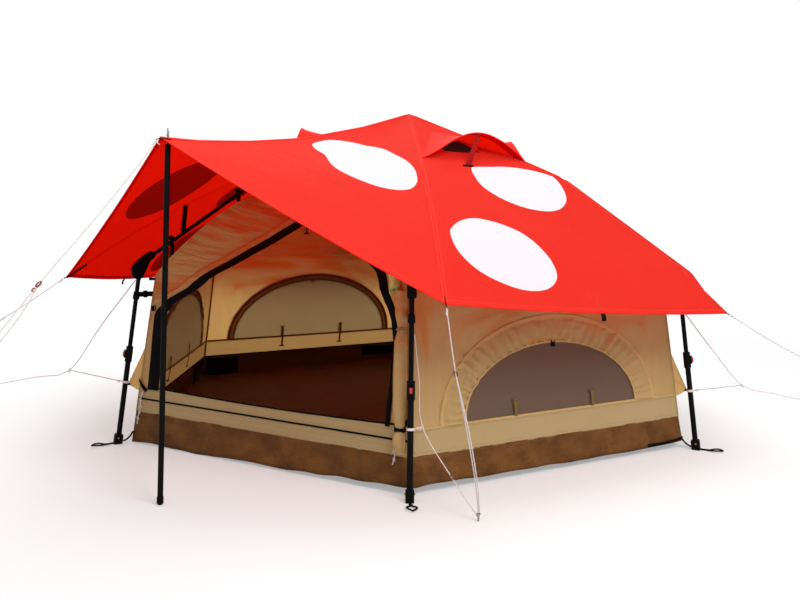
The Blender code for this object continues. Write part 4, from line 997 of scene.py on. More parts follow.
def window_wall(angle, name):
    """One wall: its band, its cloth round the window, the gathered flap, the net, bindings and toggles."""
    pane = pane_size(angle)
    wall, flap, netting, trim, toggles, tab = (Shape() for _ in range(6))

    def between(near, far, share, proud=0.0):
        along, height = (a + (b - a) * share for a, b in zip(near, far))
        return wall_place(angle, along, height, proud)

    def pleated(share, turn):
        pleat = sin(66 * turn + 2.2 * ripple((turn * 4, share, angle), 0.5, 3.0))
        depth = 0.0066 * pleat * (0.35 + 0.65 * share) * min(1.0, 6 * share + 0.15)
        return between(arch_place(WINDOW, turn), arch_place(pane, turn), share,
                       0.0025 + 0.010 * sin(pi * share) ** 0.8 + depth)
    wall.grid([[wall_place(angle, x, z) for x in across_wall(z)] for z in even(5, RIM - 0.004, WINDOW_BASE)])
    wall.grid(rows_of(lambda share, turn: between(arch_place(WINDOW, turn), frame_place(turn), share), even(12),
                      even(72, 0.0, pi)), look=1, flip=True)
    piece = cloth(wall, name + "_cloth", [BAND_KHAKI, WALL_KHAKI], replaced=[name])
    flap.grid(rows_of(pleated, even(8), even(240, 0.0, pi)))
    piece = cloth(flap, f"window_{angle}_flap", [WALL_KHAKI])
    columns = []
    for x in even(32, -1, 1):
        along = WINDOW[0] * x * 0.998
        columns.append((along, WINDOW[1] * sqrt(max(0.0, 1 - (along / WINDOW[0]) ** 2))))
    netting.grid([[wall_place(angle, along, WINDOW_BASE + top * v, -0.002) for along, top in columns]
                  for v in even(10)], maps=[[(along, top * v) for along, top in columns] for v in even(10)])
    piece = cloth(netting, f"window_{angle}_net", [WINDOW_NET], thickness=0.0005)
    # the binding round the arch, along the base and round the net
    arch_strap(trim, angle, WINDOW, 0.0, 0.0035, 0.026, 0.003)
    base = across_wall(WINDOW_BASE, share=0.995)
    trim.strap([wall_place(angle, x, WINDOW_BASE - 0.002, 0.0025) for x in base], 0.014, 0.0025)
    arch_strap(trim, angle, pane, 0.004, 0.005, 0.012, 0.003)
    fit(trim.make(f"window_{angle}_binding", BINDING_TAN))
    for along in TOGGLES:
        side = wall_place(angle, along + 0.1, 0.3) - wall_place(angle, along, 0.3)
        points = [wall_place(angle, along, WINDOW_BASE + 0.078 * v, 0.004 + 0.008 * sin(pi * v))
                  for v in even(8)]
        toggles.strap(points, 0.022, 0.003, side)
        toggles.tube([points[-1] + side.normalized() * reach for reach in (-0.017, 0, 0.017)], 0.005)
    fit(toggles.make(f"window_{angle}_toggles", TOGGLE_OLIVE))
    place = wall_place(angle, 0.012, WINDOW_BASE + pane[1] - 0.004, 0.006)
    tab.box(((-0.003, -0.013, -0.018), (0.003, 0.013, 0.016)), posed(place, angle, -0.14), 0.0015)
    fit(tab.make(f"window_{angle}_tab", BLACK_WEBBING))


for angle, name in WINDOW_WALLS.items():
    window_wall(angle, name)

# The doorway's outline as height and half width. Its right side, held out by the rolled door, is fuller.
DOOR_EDGES = {
    -1: ((0.315, 0.790), (0.720, 0.785), (0.800, 0.700), (0.870, 0.560), (1.012, 0.370), (1.114, 0.255),
         (1.250, 0.105), (1.340, 0.0)),
    1: ((0.315, 0.752), (0.540, 0.758), (0.680, 0.761), (0.785, 0.751), (0.839, 0.735), (0.930, 0.689),
        (0.993, 0.625), (1.114, 0.405), (1.250, 0.160), (1.340, 0.0))}


def door_edge(height, way):
    """The doorway's half width at a height, on its left (-1) or right (1) side."""
    return along_stops(DOOR_EDGES[way], height)[0]


def sill_dip(along):
    """How far the doorway's sill hangs down between its ends."""
    return 0.014 * max(0.0, 1 - (along / DOOR_HALF) ** 2)


def front_wall():
    """The wall below and beside the doorway."""
    shape, low = Shape(), RIM - 0.004
    sill = []
    for share in even(6):
        height = low + (DOOR_SILL - low) * share
        sill.append([wall_place(FRONT, x, height - sill_dip(x) * share) for x in across_wall(height, 48)])
    shape.grid(sill)
    for way in (-1, 1):
        def beside(height, share):
            near, far = door_edge(height, way), half_width(height)
            return wall_place(FRONT, way * (near + (far - near) * share), height)
        shape.grid(rows_of(beside, even(24, DOOR_SILL, EAVE), even(6)), look=1, flip=way < 0)
    piece = cloth(shape, "wall_front_cloth", [BAND_KHAKI, WALL_KHAKI], replaced=["wall_front"])


front_wall()

# The inner roof's rings by their share of the way from the eaves to the peak: radius and height
KNEE_SHARE, KNEE_RADIUS, KNEE_RING = 0.42, 1.015, 1.3853
ROOF_RINGS = ((0.0, EAVE_RADIUS, EAVE), (KNEE_SHARE, KNEE_RADIUS, KNEE_RING), (0.94, 0.110, 1.7427),
              (1.0, 0.0, 1.7837))


def roof_place(angle, share, across):
    """A point of the inner roof: across runs from -1 at one rib to 1 at the other."""
    radius, height = along_stops(ROOF_RINGS, share)
    out, side = ways(angle)
    sag = (1 - across * across) * min(1.0, 5 * share) * min(1.0, 3 * (1 - share))
    dip = -0.020 * sag + 0.006 * sag * ripple((across * radius * 3, share * 3, angle), 0.5, 4.0 + angle)
    # the clips hold the ribs up to the poles between the eaves and the knees
    dip += 0.058 * across ** 4 * sin(pi * min(1.0, share / KNEE_SHARE)) ** 0.7
    return out * (radius * ACROSS) + side * (across * radius / 2) + UP * (height + dip)


def inner_roof():
    shape = Shape()
    for angle in WINDOW_WALLS:
        shape.grid(rows_of(lambda share, across: roof_place(angle, share, across), even(30), even(24, -1, 1)))
    for way in (-1, 1):
        rows = []
        for share in even(30):
            radius, height = along_stops(ROOF_RINGS, share)
            near = 2 * door_edge(height, way) / radius if radius > 0 else 0.0
            rows.append([roof_place(FRONT, share, way * x) for x in even(12, near)])
        shape.grid(rows, flip=way < 0)
    piece = cloth(shape, "inner_roof_cloth", [ROOF_KHAKI_PAINTED_LIGHT], "hub", "up", replaced=["inner_roof"])


inner_roof()

# how high the straps at the legs draw up the tub's corners
TUB_LIFT = {240: 0.006, 300: 0.040, 0: 0.038, 60: 0.030, 120: 0.030, 180: 0.020}


def tub_foot(angle, along):
    """How high the tub's edge hangs over the ground."""
    share = 0.5 + along / BASE_RADIUS
    low, high = TUB_LIFT[(angle - 30) % 360], TUB_LIFT[(angle + 30) % 360]
    return low + (high - low) * share - 0.010 * sin(pi * share) + 0.013 * ripple((along, angle, 0), 0.16, 13.0)


def floor_tub():
    """The groundsheet: wrinkled sides up to the rim, and a floor that lies in shallow waves."""
    shape = Shape()

    def side(angle, level, across):
        height = RIM * level
        along = half_width(height) * across
        fold = 0.021 * sin(pi * level) * (1 - across ** 8)
        fold *= ripple((along + 0.9 * height, height * 0.6, angle), 0.085, 6.0 + angle)
        place = wall_place(angle, along, height, fold - slack(angle, along, height) * (1 - level))
        return place + UP * (max(0.0, tub_foot(angle, along)) * (1 - level))

    def floor(edge, number, rows=14):
        shrink = 1 - number / rows
        x, y = edge.x * shrink, edge.y * shrink
        wave = 0.0045 * (1 - shrink ** 6) * (0.5 + 0.5 * ripple((x, y, 0), 0.22, 8.0))
        return Vector((x, y, 0.0026 + edge.z * max(0.0, 1 - 0.75 * number) + wave))
    for angle in (*WINDOW_WALLS, FRONT):
        rows = rows_of(lambda level, across: side(angle, level, across), even(8), even(48, -1, 1))
        shape.grid(rows)
        shape.grid([rows[0]] + [[floor(p, number) for p in rows[0]] for number in range(1, 15)], look=1,
                   flip=True)
    piece = shape.make("floor_tub_cloth", [TUB_BROWN, TUB_INSIDE], smooth=0, weld=0.0004)
    outward(piece.data)
    # the thickness grows away from the side that people walk on
    if sum(p.area * p.normal.z for p in piece.data.polygons if p.material_index == 1) > 0:
        piece.data.flip_normals()
    thicken(piece)
    fit(piece, replaced=["floor_tub"])


floor_tub()

# the rolled door by height: its radius as a share of the whole, drawn in at its two ties
ROLL_SIZES = ((0.185, 0.62), (0.235, 0.92), (0.300, 0.70), (0.400, 0.96), (0.550, 1.00), (0.680, 0.94),
              (0.755, 0.64), (0.830, 0.92), (0.929, 0.88))
ROLL_RADIUS, ROLL_LOW, ROLL_HIGH = 0.0335, ROLL_SIZES[0][0], ROLL_SIZES[-1][0]


def roll_place(height):
    """The middle, radius and facing of the rolled door at a height."""
    radius = ROLL_RADIUS * along_stops(ROLL_SIZES, height, ease=True)[0]
    lean = 0.050 * (0.5 - (height - ROLL_LOW) / (ROLL_HIGH - ROLL_LOW))
    normal = Vector((0, -1, ACROSS * WALL_LEAN)).normalized()
    return (wall_place(FRONT, DOOR_HALF + 0.002 + lean, height, 0.0008) + normal * (radius + 0.0005), radius,
            normal)


def wound(middle, radius, side, top, turns, steps, core, lump, at, seed):
    """One section of a cloth roll, wound out from its core; its outer two turns are lumpy."""
    row = []
    for j in range(turns * steps + 1):
        c, s = cos(2 * pi * j / steps), sin(2 * pi * j / steps)
        swell = 1 + lump * ripple((c, s, at), 0.6, seed) if j > (turns - 2) * steps else 0.96
        reach = radius * (core + (1 - core) * j / (turns * steps)) * swell
        row.append(middle + side * (reach * c) + top * (reach * s))
    return row


def door_roll():
    """The door's panel, 1.6 m wide, wound into a slack roll of about eleven turns and tied twice."""
    shape, rows = Shape(), []
    for share in even(40):
        middle, radius, normal = roll_place(ROLL_LOW + (ROLL_HIGH - ROLL_LOW) * share)
        rows.append(wound(middle, radius * 0.985, Vector((1, 0, 0)), normal, 11, 22, 0.22, 0.10, share * 2.2,
                          9.0))
    shape.grid(rows)
    piece = cloth(shape, "door_panel_roll", [WALL_KHAKI], thickness=0.0008, replaced=["door_panel_rolled"])


door_roll()

# ---------------------------------------------------------------- sewing, webbing and hardware

def panel_width(panel, row):
    return (fly_place(*panel, row, 1) - fly_place(*panel, row, 0)).length


def beside_rib(left, right, row, side, reach, up):
    """A point of a fly panel this far from the rib on one of its sides."""
    share = min(0.5, reach / max(0.03, panel_width((left, right), row)))
    return fly_place(left, right, row, share if side == 0 else 1 - share, up)


def fly_trim():
    """Felled seams on the ribs and the porch's ridge, the hem folded round the edge, and the tabs."""
    seams, hem, tabs, eyes, sewn = Shape(), Shape(), Shape(), Shape(), []
    # the hem's inner edge, the stitches on it and the foot of the patches at its middle, in rows
    edge_row, stitch_row, patch_row = LAST_ROW - 0.8, LAST_ROW - 0.66, LAST_ROW - 0.7
    for panel in PANELS.values():
        for side in (0, 1):
            seams.grid([[beside_rib(*panel, row, side, *spot) for spot in ((0.0, 0.0022), (0.011, 0.0014))]
                        for row in range(1, LAST_ROW + 1)])
            sewn.append([beside_rib(*panel, row / 2, side, 0.0085, 0.0030) for row in range(3, 2 * LAST_ROW)])
        rows = []
        for share in even(PANEL_COLUMNS):
            near, edge = fly_place(*panel, edge_row, share), fly_place(*panel, LAST_ROW, share)
            edge += (edge - near).normalized() * 0.002
            rows.append([p + UP * up for p, up in ((near, 0.0008), (near, 0.0020), (edge, 0.0014),
                                                   (edge, -0.0030), (near, -0.0026))])
        first = len(hem.looks)
        hem.closed(rows)
        # the last two strips of the hem's five lie under the edge
        hem.looks[first:-2] = [1 if n % 5 > 2 else 0 for n in range(len(hem.looks) - first - 2)]
        sewn.append([fly_place(*panel, stitch_row, share, 0.0028) for share in even(64)])
    cloth(seams, "fly_seams", [FLY_RED], "hub", "up", 0.0008, spots=no_spot)
    finish(hem, "fly_hem", [FLY_RED, FLY_BACK_PAINTED_SHADE], "hub", spots=no_spot)
    for panel in SIDE_PANELS.values():
        # the patch that takes the tab at the middle of each hem is sewn down in a long V
        for across in (-0.030, 0.030):
            share = across / panel_width(panel, LAST_ROW)
            sewn.append([fly_place(*panel, patch_row - k * 0.55, 0.5 + share * k / 6, 0.0026)
                         for k in range(7)])
    stitches("fly_stitches", sewn, RED_THREAD, 0.013, "hub")
    starts = {corner: Vector(route[0]) for corner, route in FLY_GUYS.values()}
    for corner, place in FLY_CORNERS.items():
        flat = Vector((place.x, place.y, 0)).normalized() - UP * 0.5
        run = (starts[corner] - place if corner in starts else flat).normalized()
        side = run.cross(UP).normalized()
        inward = (FLY_LINES["ridge" if corner == "tip" else corner][-3] - place).normalized()
        tabs.strap([place + inward * 0.050 - UP * 0.008, place + inward * 0.006 - UP * 0.006,
                    place + run * 0.0154], 0.036 if corner == "tip" else 0.026, 0.003, side)
        if corner not in starts:
            eyes.hoop(place + run * 0.024, run, side, 0.020, 0.016, 0.0016)
    for panel in SIDE_PANELS.values():
        edge, near = fly_place(*panel, LAST_ROW, 0.5), fly_place(*panel, edge_row, 0.5)
        out = (edge - near).normalized()
        tabs.strap([near - UP * 0.004] + [edge + out * a - UP * b for a, b in (
            (0, 0.0045), (0.010, 0.012), (0.013, 0.020), (0.012, 0.030))], 0.030, 0.003,
            (fly_place(*panel, LAST_ROW, 0.52) - edge).normalized())
    # the front left corner's webbing runs on under the seam
    tabs.strap([fly_place(*PORCH_PANELS[255], LAST_ROW - k * 0.9, 0.0, -0.006) for k in range(5)], 0.016, 0.002,
               (1, 0.4, 0))
    finish(tabs, "fly_webbing_tabs", BLACK_WEBBING, "hub")
    finish(eyes, "fly_rings", STEEL, "hub")


fly_trim()


def leg_run(chain):
    return leg_place(chain, 0.1) - leg_place(chain, 0.6)


def guy_hardware():
    """Runners, knots, end rings and the doubled strands of the guy lines."""
    front, tip = settled(FLY_CORNERS["front_right"].z), settled(PORCH_TIP.z)
    lay_cord("guy_front_right_fly_return", [
        (1.1985, -1.7150, 0.628), (1.255, -1.700, 0.400), (1.289, -1.675, 0.170),
        (PEG.x + 0.004, PEG.y, 0.040)], front)
    lay_cord("guy_tip_return", [(0.0, -2.808, 1.016), (0.016, -2.900, 0.915), (0.018, -3.018, 0.805)],
             tip)
    for name, (corner, route) in FLY_GUYS.items():
        keep, knots, eye = settled(FLY_CORNERS[corner].z), Shape(), Shape()
        start, far = FLY_CORNERS[corner], Vector(route[-1])
        run, way = (Vector(route[0]) - start).normalized(), (far - Vector(route[-2])).normalized()
        knots.knot(start + run * 0.030, run)
        if corner != "front_right":
            knots.knot(far - way * 0.012, way, tails=0.012)
        finish(knots, name + "_knots", CORD)
        if corner != "front_right":
            eye.hoop(far + way * 0.006, way, way.cross(UP), 0.020, 0.016, 0.0018)
            finish(eye, name + "_ring", STEEL)
    down, out = Vector((0.09, 0.05, -0.5)).normalized(), Vector((0.0, -0.33, -0.29)).normalized()
    joint = Vector((0.0, -2.806, 1.021))
    for name, keep, loops in (
            ("guy_front_right_runner", front, [((1.197, -1.713, 0.632), down, down.cross(Vector((0, -1, 0))),
                                                0.020, 0.016, 0.0030)]),
            ("guy_tip_runner", tip, [(joint, out, (1, 0, 0), 0.026, 0.018, 0.0034),
                                     (joint + out * 0.03, out, (0, 1, -1), 0.016, 0.012, 0.0026)]),
            ("guy_low_runner", FLAT, [((1.130, -1.595, 0.145), (0.16, -0.06, -0.13), UP, 0.022, 0.016,
                                       0.0032)])):
        runner = Shape()
        for loop in loops:
            runner.hoop(*loop)
        finish(runner, name, RUNNER_RED)
    for name, (chain, _, foot, route) in LEG_GUYS.items():
        knots, hitch = Shape(), Shape()
        joint, way = Vector(route[1]), Vector(route[-1]) - Vector(route[-2])
        knots.knot(joint + UP * 0.001, joint - Vector(route[0]))
        end = leg_side(chain, foot, OUTER_TUBE, joint)
        back = (joint - end).normalized()
        knots.knot(end + back * 0.018, back, tails=0.016)
        if chain != "front_right":
            knots.knot(Vector(route[-1]) - way.normalized() * 0.010, way, tails=0.012)
        finish(knots, name + "_knots", CORD)
        hitch.sleeve(leg_place(chain, foot), leg_run(chain), OUTER_TUBE, 0.0002, 0.0034, 0.012)
        finish(hitch, name + "_hitch", CORD, "leg_end_" + chain)


guy_hardware()


def front_place(x, height, proud=0.0):
    """A point over the tent's front, on its wall or on the roof panel above it."""
    if height <= EAVE:
        return wall_place(FRONT, x, height, proud)
    share = KNEE_SHARE * (height - EAVE) / (KNEE_RING - EAVE)
    radius = along_stops(ROOF_RINGS, share)[0]
    return roof_place(FRONT, share, 2 * x / radius) + Vector((0, -0.656, 0.755)) * proud


def band_share(height, way):
    """How wide the zip band lies open, as a share of its 70 mm: the rolled door folds the right one over."""
    return 1.0 if way < 0 else 0.30 + 0.35 * min(1.0, max(0.0, (height - 0.70) / 0.22))


def upper_roll():
    """The rolled door goes on up along the doorway's slanted side, thinning towards the peak."""
    shape, rows = Shape(), []
    for k in range(31):
        height, radius = EAVE + 0.370 * k / 30, 0.031 - 0.017 * k / 30
        middle = front_place(door_edge(height, 1) + 0.048 - 0.020 * k / 30, height, radius + 0.004)
        rows.append(wound(middle, radius, Vector((0.82, 0, 0.57)), Vector((0, -0.755, 0.656)), 8, 18, 0.30,
                          0.12, k * 0.09, 12.0))
    shape.grid(rows)
    piece = cloth(shape, "door_roll_upper", [ROOF_KHAKI_PAINTED_LIGHT], "hub", thickness=0.0008)


# sections of the doorway's zip band and storm flap: how far in or out from its edge, and how proud
ZIP_BAND = ((-0.006, 0.0060), (0.018, 0.0085), (0.042, 0.0080), (0.068, 0.0050))
STORM_FLAP = ((0.004, 0.0100), (0.018, 0.0220), (0.040, 0.0250), (0.062, 0.0170), (0.078, 0.0030))
ZIP_PULLS = {"left": ((-0.822, 0.285), (-0.836, 0.240), (-0.830, 0.190), (-0.843, 0.150), (-0.846, 0.105)),
             "right": ((0.796, 0.236), (0.790, 0.205), (0.797, 0.170), (0.788, 0.130))}
FLAP_LOW, COIL_TOP, SILL_ZIP = 0.775, 1.25, 0.245


def doorway():
    """The doorway's black zip band, the storm flap over it, its sill lines, ties and zip pulls."""
    for part, body, low, high, count in (("lower", "tent_base", 0.300, EAVE, 22),
                                         ("upper", "hub", EAVE, 1.338, 16)):
        zips, covers, coils = Shape(), Shape(), Shape()
        for way in (-1, 1):
            def inside_edge(z, inward, proud):
                return front_place(way * max(0.0, door_edge(z, way) - inward * band_share(z, way)), z, proud)
            zips.grid([[inside_edge(z, *spot) for spot in ZIP_BAND] for z in even(count, low, high)])
            covers.grid([[front_place(way * (door_edge(z, way) + out), z,
                                      proud * min(1.0, 0.3 + 8 * abs(z - FLAP_LOW)))
                          for out, proud in STORM_FLAP] for z in even(count, max(low, FLAP_LOW), high)])
            coils.tube([inside_edge(z, 0.070, 0.0055) for z in even(count, low, min(high, COIL_TOP))], 0.0030)
        cloth(zips, f"door_zip_band_{part}", [ZIP_BLACK], body)
        cloth(covers, f"door_storm_flap_{part}", [WALL_KHAKI], body, thickness=0.0010)
        finish(coils, f"door_zip_coil_{part}", ZIP_BLACK, body)
    lines, ties, soft = Shape(), Shape(), Shape()
    wide = across_wall(SILL_ZIP, 48, 0.985)
    lines.strap([wall_place(FRONT, x, SILL_ZIP, 0.0022) for x in wide], 0.010, 0.0024)
    lines.strap([wall_place(FRONT, x * 0.93, DOOR_SILL - sill_dip(x * 0.93), 0.0015) for x in wide], 0.009,
                0.0040)
    finish(lines, "door_sill_zip", ZIP_BLACK)
    for way in (-1, 1):
        ties.strap([wall_place(FRONT, way * (0.868 - 0.065 * v), 0.350 - 0.060 * v,
                               0.0045 + 0.006 * sin(pi * v)) for v in even(5)], 0.022, 0.0026,
                   (0.3 * way, 0, 1))
        # the hook at the doorway's shoulder
        place = wall_place(FRONT, way * 0.800, 0.742, 0.012)
        ties.box(((-0.010, -0.005, -0.014), (0.010, 0.005, 0.014)), posed(place), 0.003)
        ties.hoop(place + Vector((-0.016 * way, -0.002, 0.004)), UP, (1, 0, 0), 0.024, 0.016, 0.0024)
    middle, radius, normal = roll_place(0.300)
    ties.sleeve(middle, (0.12, -normal.z, 1.0), radius, 0.0006, 0.0028, 0.024)
    finish(ties, "door_webbing", BLACK_WEBBING)
    middle, radius, normal = roll_place(0.755)
    soft.sleeve(middle, (-0.1, -normal.z, 1.0), radius, 0.0005, 0.0023, 0.014)
    front = middle + normal * (radius + 0.006)
    soft.tube([front + Vector((-0.016, 0, -0.004)), front, front + Vector((0.016, 0, 0.005))], 0.0045)
    finish(soft, "door_roll_tie", TAN_STRAP)
    for name, spots in ZIP_PULLS.items():
        route = lay_cord(f"zip_pull_{name}_cord", [wall_place(FRONT, x, z, 0.0105) for x, z in spots],
                         TENT_KEEP, None, 0.012, 0.0030)
        knots = Shape()
        for k in range(1, len(route) - 1, 3):
            knots.knot(route[k], route[k + 1] - route[k - 1], size=0.0052, tails=0.012)
        finish(knots, f"zip_pull_{name}_knots", CORD)


doorway()
upper_roll()


def corner_place(chain, height, out=0.0, side=0.0):
    """A point at a corner of the inner tent, or out from it and beside it."""
    return TURNS[chain] @ Vector((BASE_RADIUS - WALL_LEAN * height + out, side, height))


EAR_TOP, EAR_FOOT, EAR_TIP, STRAP_HIGH = 0.530, 0.285, 0.327, 0.822
# turned parts, by radius and height: the pin at a foot, and the spike on the porch pole
FOOT_PIN = ((0.0002, 0.0), (0.0052, 0.0), (0.0052, 0.0012), (0.0036, 0.0026), (0.0002, 0.0030))
PORCH_SPIKE = ((0.0044, 0.000), (0.0048, 0.001), (0.0048, 0.012), (0.0062, 0.013), (0.0062, 0.019),
               (0.0048, 0.020), (0.0048, 0.040), (0.0030, 0.0465), (0.0004, 0.0480))


def corners():
    """Corner seams and tapes, the ears and straps that tie the tent to its legs, and the foot webbing."""
    seams, tapes, ears, straps, loops = (Shape() for _ in range(5))
    for chain, angle in CHAINS.items():
        turn = TURNS[chain]
        across = turn @ Vector((0, 1, 0))
        levels = even(24, RIM, EAVE - 0.004)
        seams.strap([corner_place(chain, z, 0.0012) for z in levels], 0.010, 0.0016, across)
        tapes.strap([corner_place(chain, z, -0.0075) for z in levels], 0.018, 0.0020, across)

        def ear(down, share):
            """A stiff triangle whose tip is tied to the leg."""
            base = corner_place(chain, EAR_TOP + (EAR_FOOT - EAR_TOP) * down)
            tip = turn @ Vector((1.7835, 0, EAR_TIP))
            reach = share * (0.96 if down in (0.0, 1.0) else 1.0)
            return base.lerp(tip, reach) + across * (0.006 * sin(pi * share) * sin(pi * down))
        ears.grid(rows_of(ear, even(8), even(6)))
        straps.strap([turn @ Vector((1.770, 0, EAR_TIP)),
                      leg_place(chain, EAR_TIP) - turn @ Vector((OUTER_TUBE + 0.0005, 0, 0))], 0.012, 0.004)
        # the webbing, buckle and sleeve that hold the wall's head to the leg
        head, ring = leg_place(chain, STRAP_HIGH), Shape()
        straps.strap([corner_place(chain, STRAP_HIGH, -0.002), corner_place(chain, 0.823, 0.030, 0.002),
                      head - turn @ Vector((0.0135, 0, 0))], 0.028, 0.0032)
        straps.box(((-0.010, -0.006, -0.019), (0.010, 0.006, 0.019)),
                   posed(corner_place(chain, 0.823, 0.042), angle), 0.002)
        ring.sleeve(head, leg_run(chain), INNER_TUBE, 0.0004, 0.0036, 0.030)
        finish(ring, f"leg_sleeve_{chain}", BLACK_WEBBING, "leg_" + chain)
        straps.strap([corner_place(chain, 0.905, -0.004), corner_place(chain, 0.905, 0.034)], 0.016, 0.003)
        # webbing along the tub's foot, which the front corners don't show, and on to the leg's foot
        for way in () if chain.startswith("front") else (-1, 1):
            wall, points = angle - 30 * way, []
            for k in range(11):
                along = way * (half_width(0.012) - 0.004 - 0.026 * k)
                sag = 0.006 * sin(pi * k / 10)
                points.append(wall_place(wall, along, 0.016, 0.0045 + sag)
                              + UP * (0.9 * max(0.0, tub_foot(wall, along)) - 0.4 * sag))
            straps.strap(points, 0.016, 0.0026)
        foot = [corner_place(chain, 0.060, 0.001), corner_place(chain, 0.034, 0.016, 0.003),
                turn @ Vector((1.806, 0.004, 0.016)), turn @ Vector((1.826, 0, 0.012))]
        straps.strap(smooth_route(foot, 0.012), 0.022, 0.0040, across)
        # the pegging loop that lies out from the foot
        start, way = turn @ Vector((1.868, 0, 0.0050)), turn @ Vector((1, 0.10, 0))
        for side in (-1, 1):
            loops.tube(smooth_route([start + way * a + across * (b * side) + UP * c for a, b, c in (
                (0, 0.003, 0), (0.030, 0.003, 0), (0.050, 0.007, 0), (0.074, 0.022, 0.004),
                (0.100, 0.018, 0.006), (0.120, 0, 0.004))], 0.008), 0.0044)
        loops.box(((-0.008, -0.010, -0.0028), (0.008, 0.010, 0.0030)), posed(start + way * 0.042, angle),
                  0.0015)
        pins = Shape()
        for side in (-1, 1):
            pins.closed(rings(FOOT_PIN, turn @ Vector((1.846, 0.0215 * side, 0.034)), across * side, 14))
        finish(pins, f"foot_pin_{chain}", BRASS, "leg_end_" + chain)
    finish(seams, "corner_seams", BINDING_TAN)
    finish(tapes, "corner_tapes", INNER_TAPE)
    piece = cloth(ears, "corner_ears", [WALL_KHAKI])
    finish(straps, "leg_webbing", BLACK_WEBBING)
    finish(loops, "foot_loops", BLACK_WEBBING)


corners()

# an elbow cover's outline, out from the hub's axis and up, and its section across: place and size
COVER_MIDDLE = Vector((1.692, 0, 0.985))
COVER_OUTLINE = ((1.646, 1.060), (1.618, 1.052), (1.624, 1.026), (1.649, 1.008), (1.672, 0.960), (1.686, 0.932),
                 (1.698, 0.912), (1.716, 0.905), (1.735, 0.909), (1.750, 0.926), (1.754, 0.966), (1.740, 0.990),
                 (1.706, 1.021), (1.672, 1.046))
COVER_SECTION = ((-0.0215, 0.84), (-0.0200, 0.92), (-0.0160, 0.97), (-0.0070, 1.0), (0.0070, 1.0),
                 (0.0160, 0.97), (0.0200, 0.92), (0.0215, 0.84))


def pole_fittings():
    """The elbows' covers, the clips between poles, inner roof and fly, and the porch pole's spike."""
    for chain, turn in TURNS.items():
        cover, clips = Shape(), Shape()
        cover.closed([[turn @ (COVER_MIDDLE + (Vector((r, 0, z)) - COVER_MIDDLE) * size + Vector((0, side, 0)))
                       for r, z in COVER_OUTLINE] for side, size in COVER_SECTION])
        finish(cover, f"elbow_cover_{chain}", COVER_BLACK, "leg_" + chain, smooth=50)
        run = turn @ Vector((cos(POLE_SLOPE), 0, -sin(POLE_SLOPE)))

        def clip(radius, width):
            """A sleeve on the pole at this distance from the hub; the pole's height there comes back."""
            height = KNEE.z - (radius - KNEE.x) * tan(POLE_SLOPE)
            clips.sleeve(turn @ Vector((radius, 0, height)), run, INNER_TUBE, 0.0003, 0.0033, width)
            return height
        for radius in (1.140, 1.530):
            height = clip(radius, 0.024)
            roof = roof_place(330, KNEE_SHARE * (EAVE_RADIUS - radius) / (EAVE_RADIUS - KNEE_RADIUS), 1).z
            clips.strap([turn @ Vector(p) for p in ((radius, 0, height - INNER_TUBE),
                                                    (radius - 0.004, 0.002, (height + roof) / 2),
                                                    (radius - 0.002, 0, roof + 0.004))], 0.022, 0.0030, run)
        if chain.startswith("front"):
            radius = 1.460
            height = clip(radius, 0.026)
            seam = min(FLY_LINES[chain], key=lambda p: abs(hypot(p.x, p.y) - radius + 0.02))
            clips.strap([turn @ Vector((radius, 0, height + INNER_TUBE)),
                         (turn @ Vector((radius, 0, height))).lerp(seam, 0.6), seam - UP * 0.003], 0.026,
                        0.0030, run)
        finish(clips, f"pole_clips_{chain}", BLACK_WEBBING, "lower_" + chain)
    spike, run = Shape(), Vector((0, 0.085, 1.600)).normalized()
    spike.closed(rings(PORCH_SPIKE, Vector((0, -2.125, 1.600)) + run * 0.0005, run, 14))
    finish(spike, "porch_spike", STEEL, "porch_pole")


pole_fittings()

# the net pockets: wall, both ends along it, foot and mouth
POCKETS = ((150, 0.600, 0.850, 0.030, 0.165), (150, -0.850, -0.470, 0.085, 0.165),
           (210, -0.850, -0.560, 0.030, 0.165))


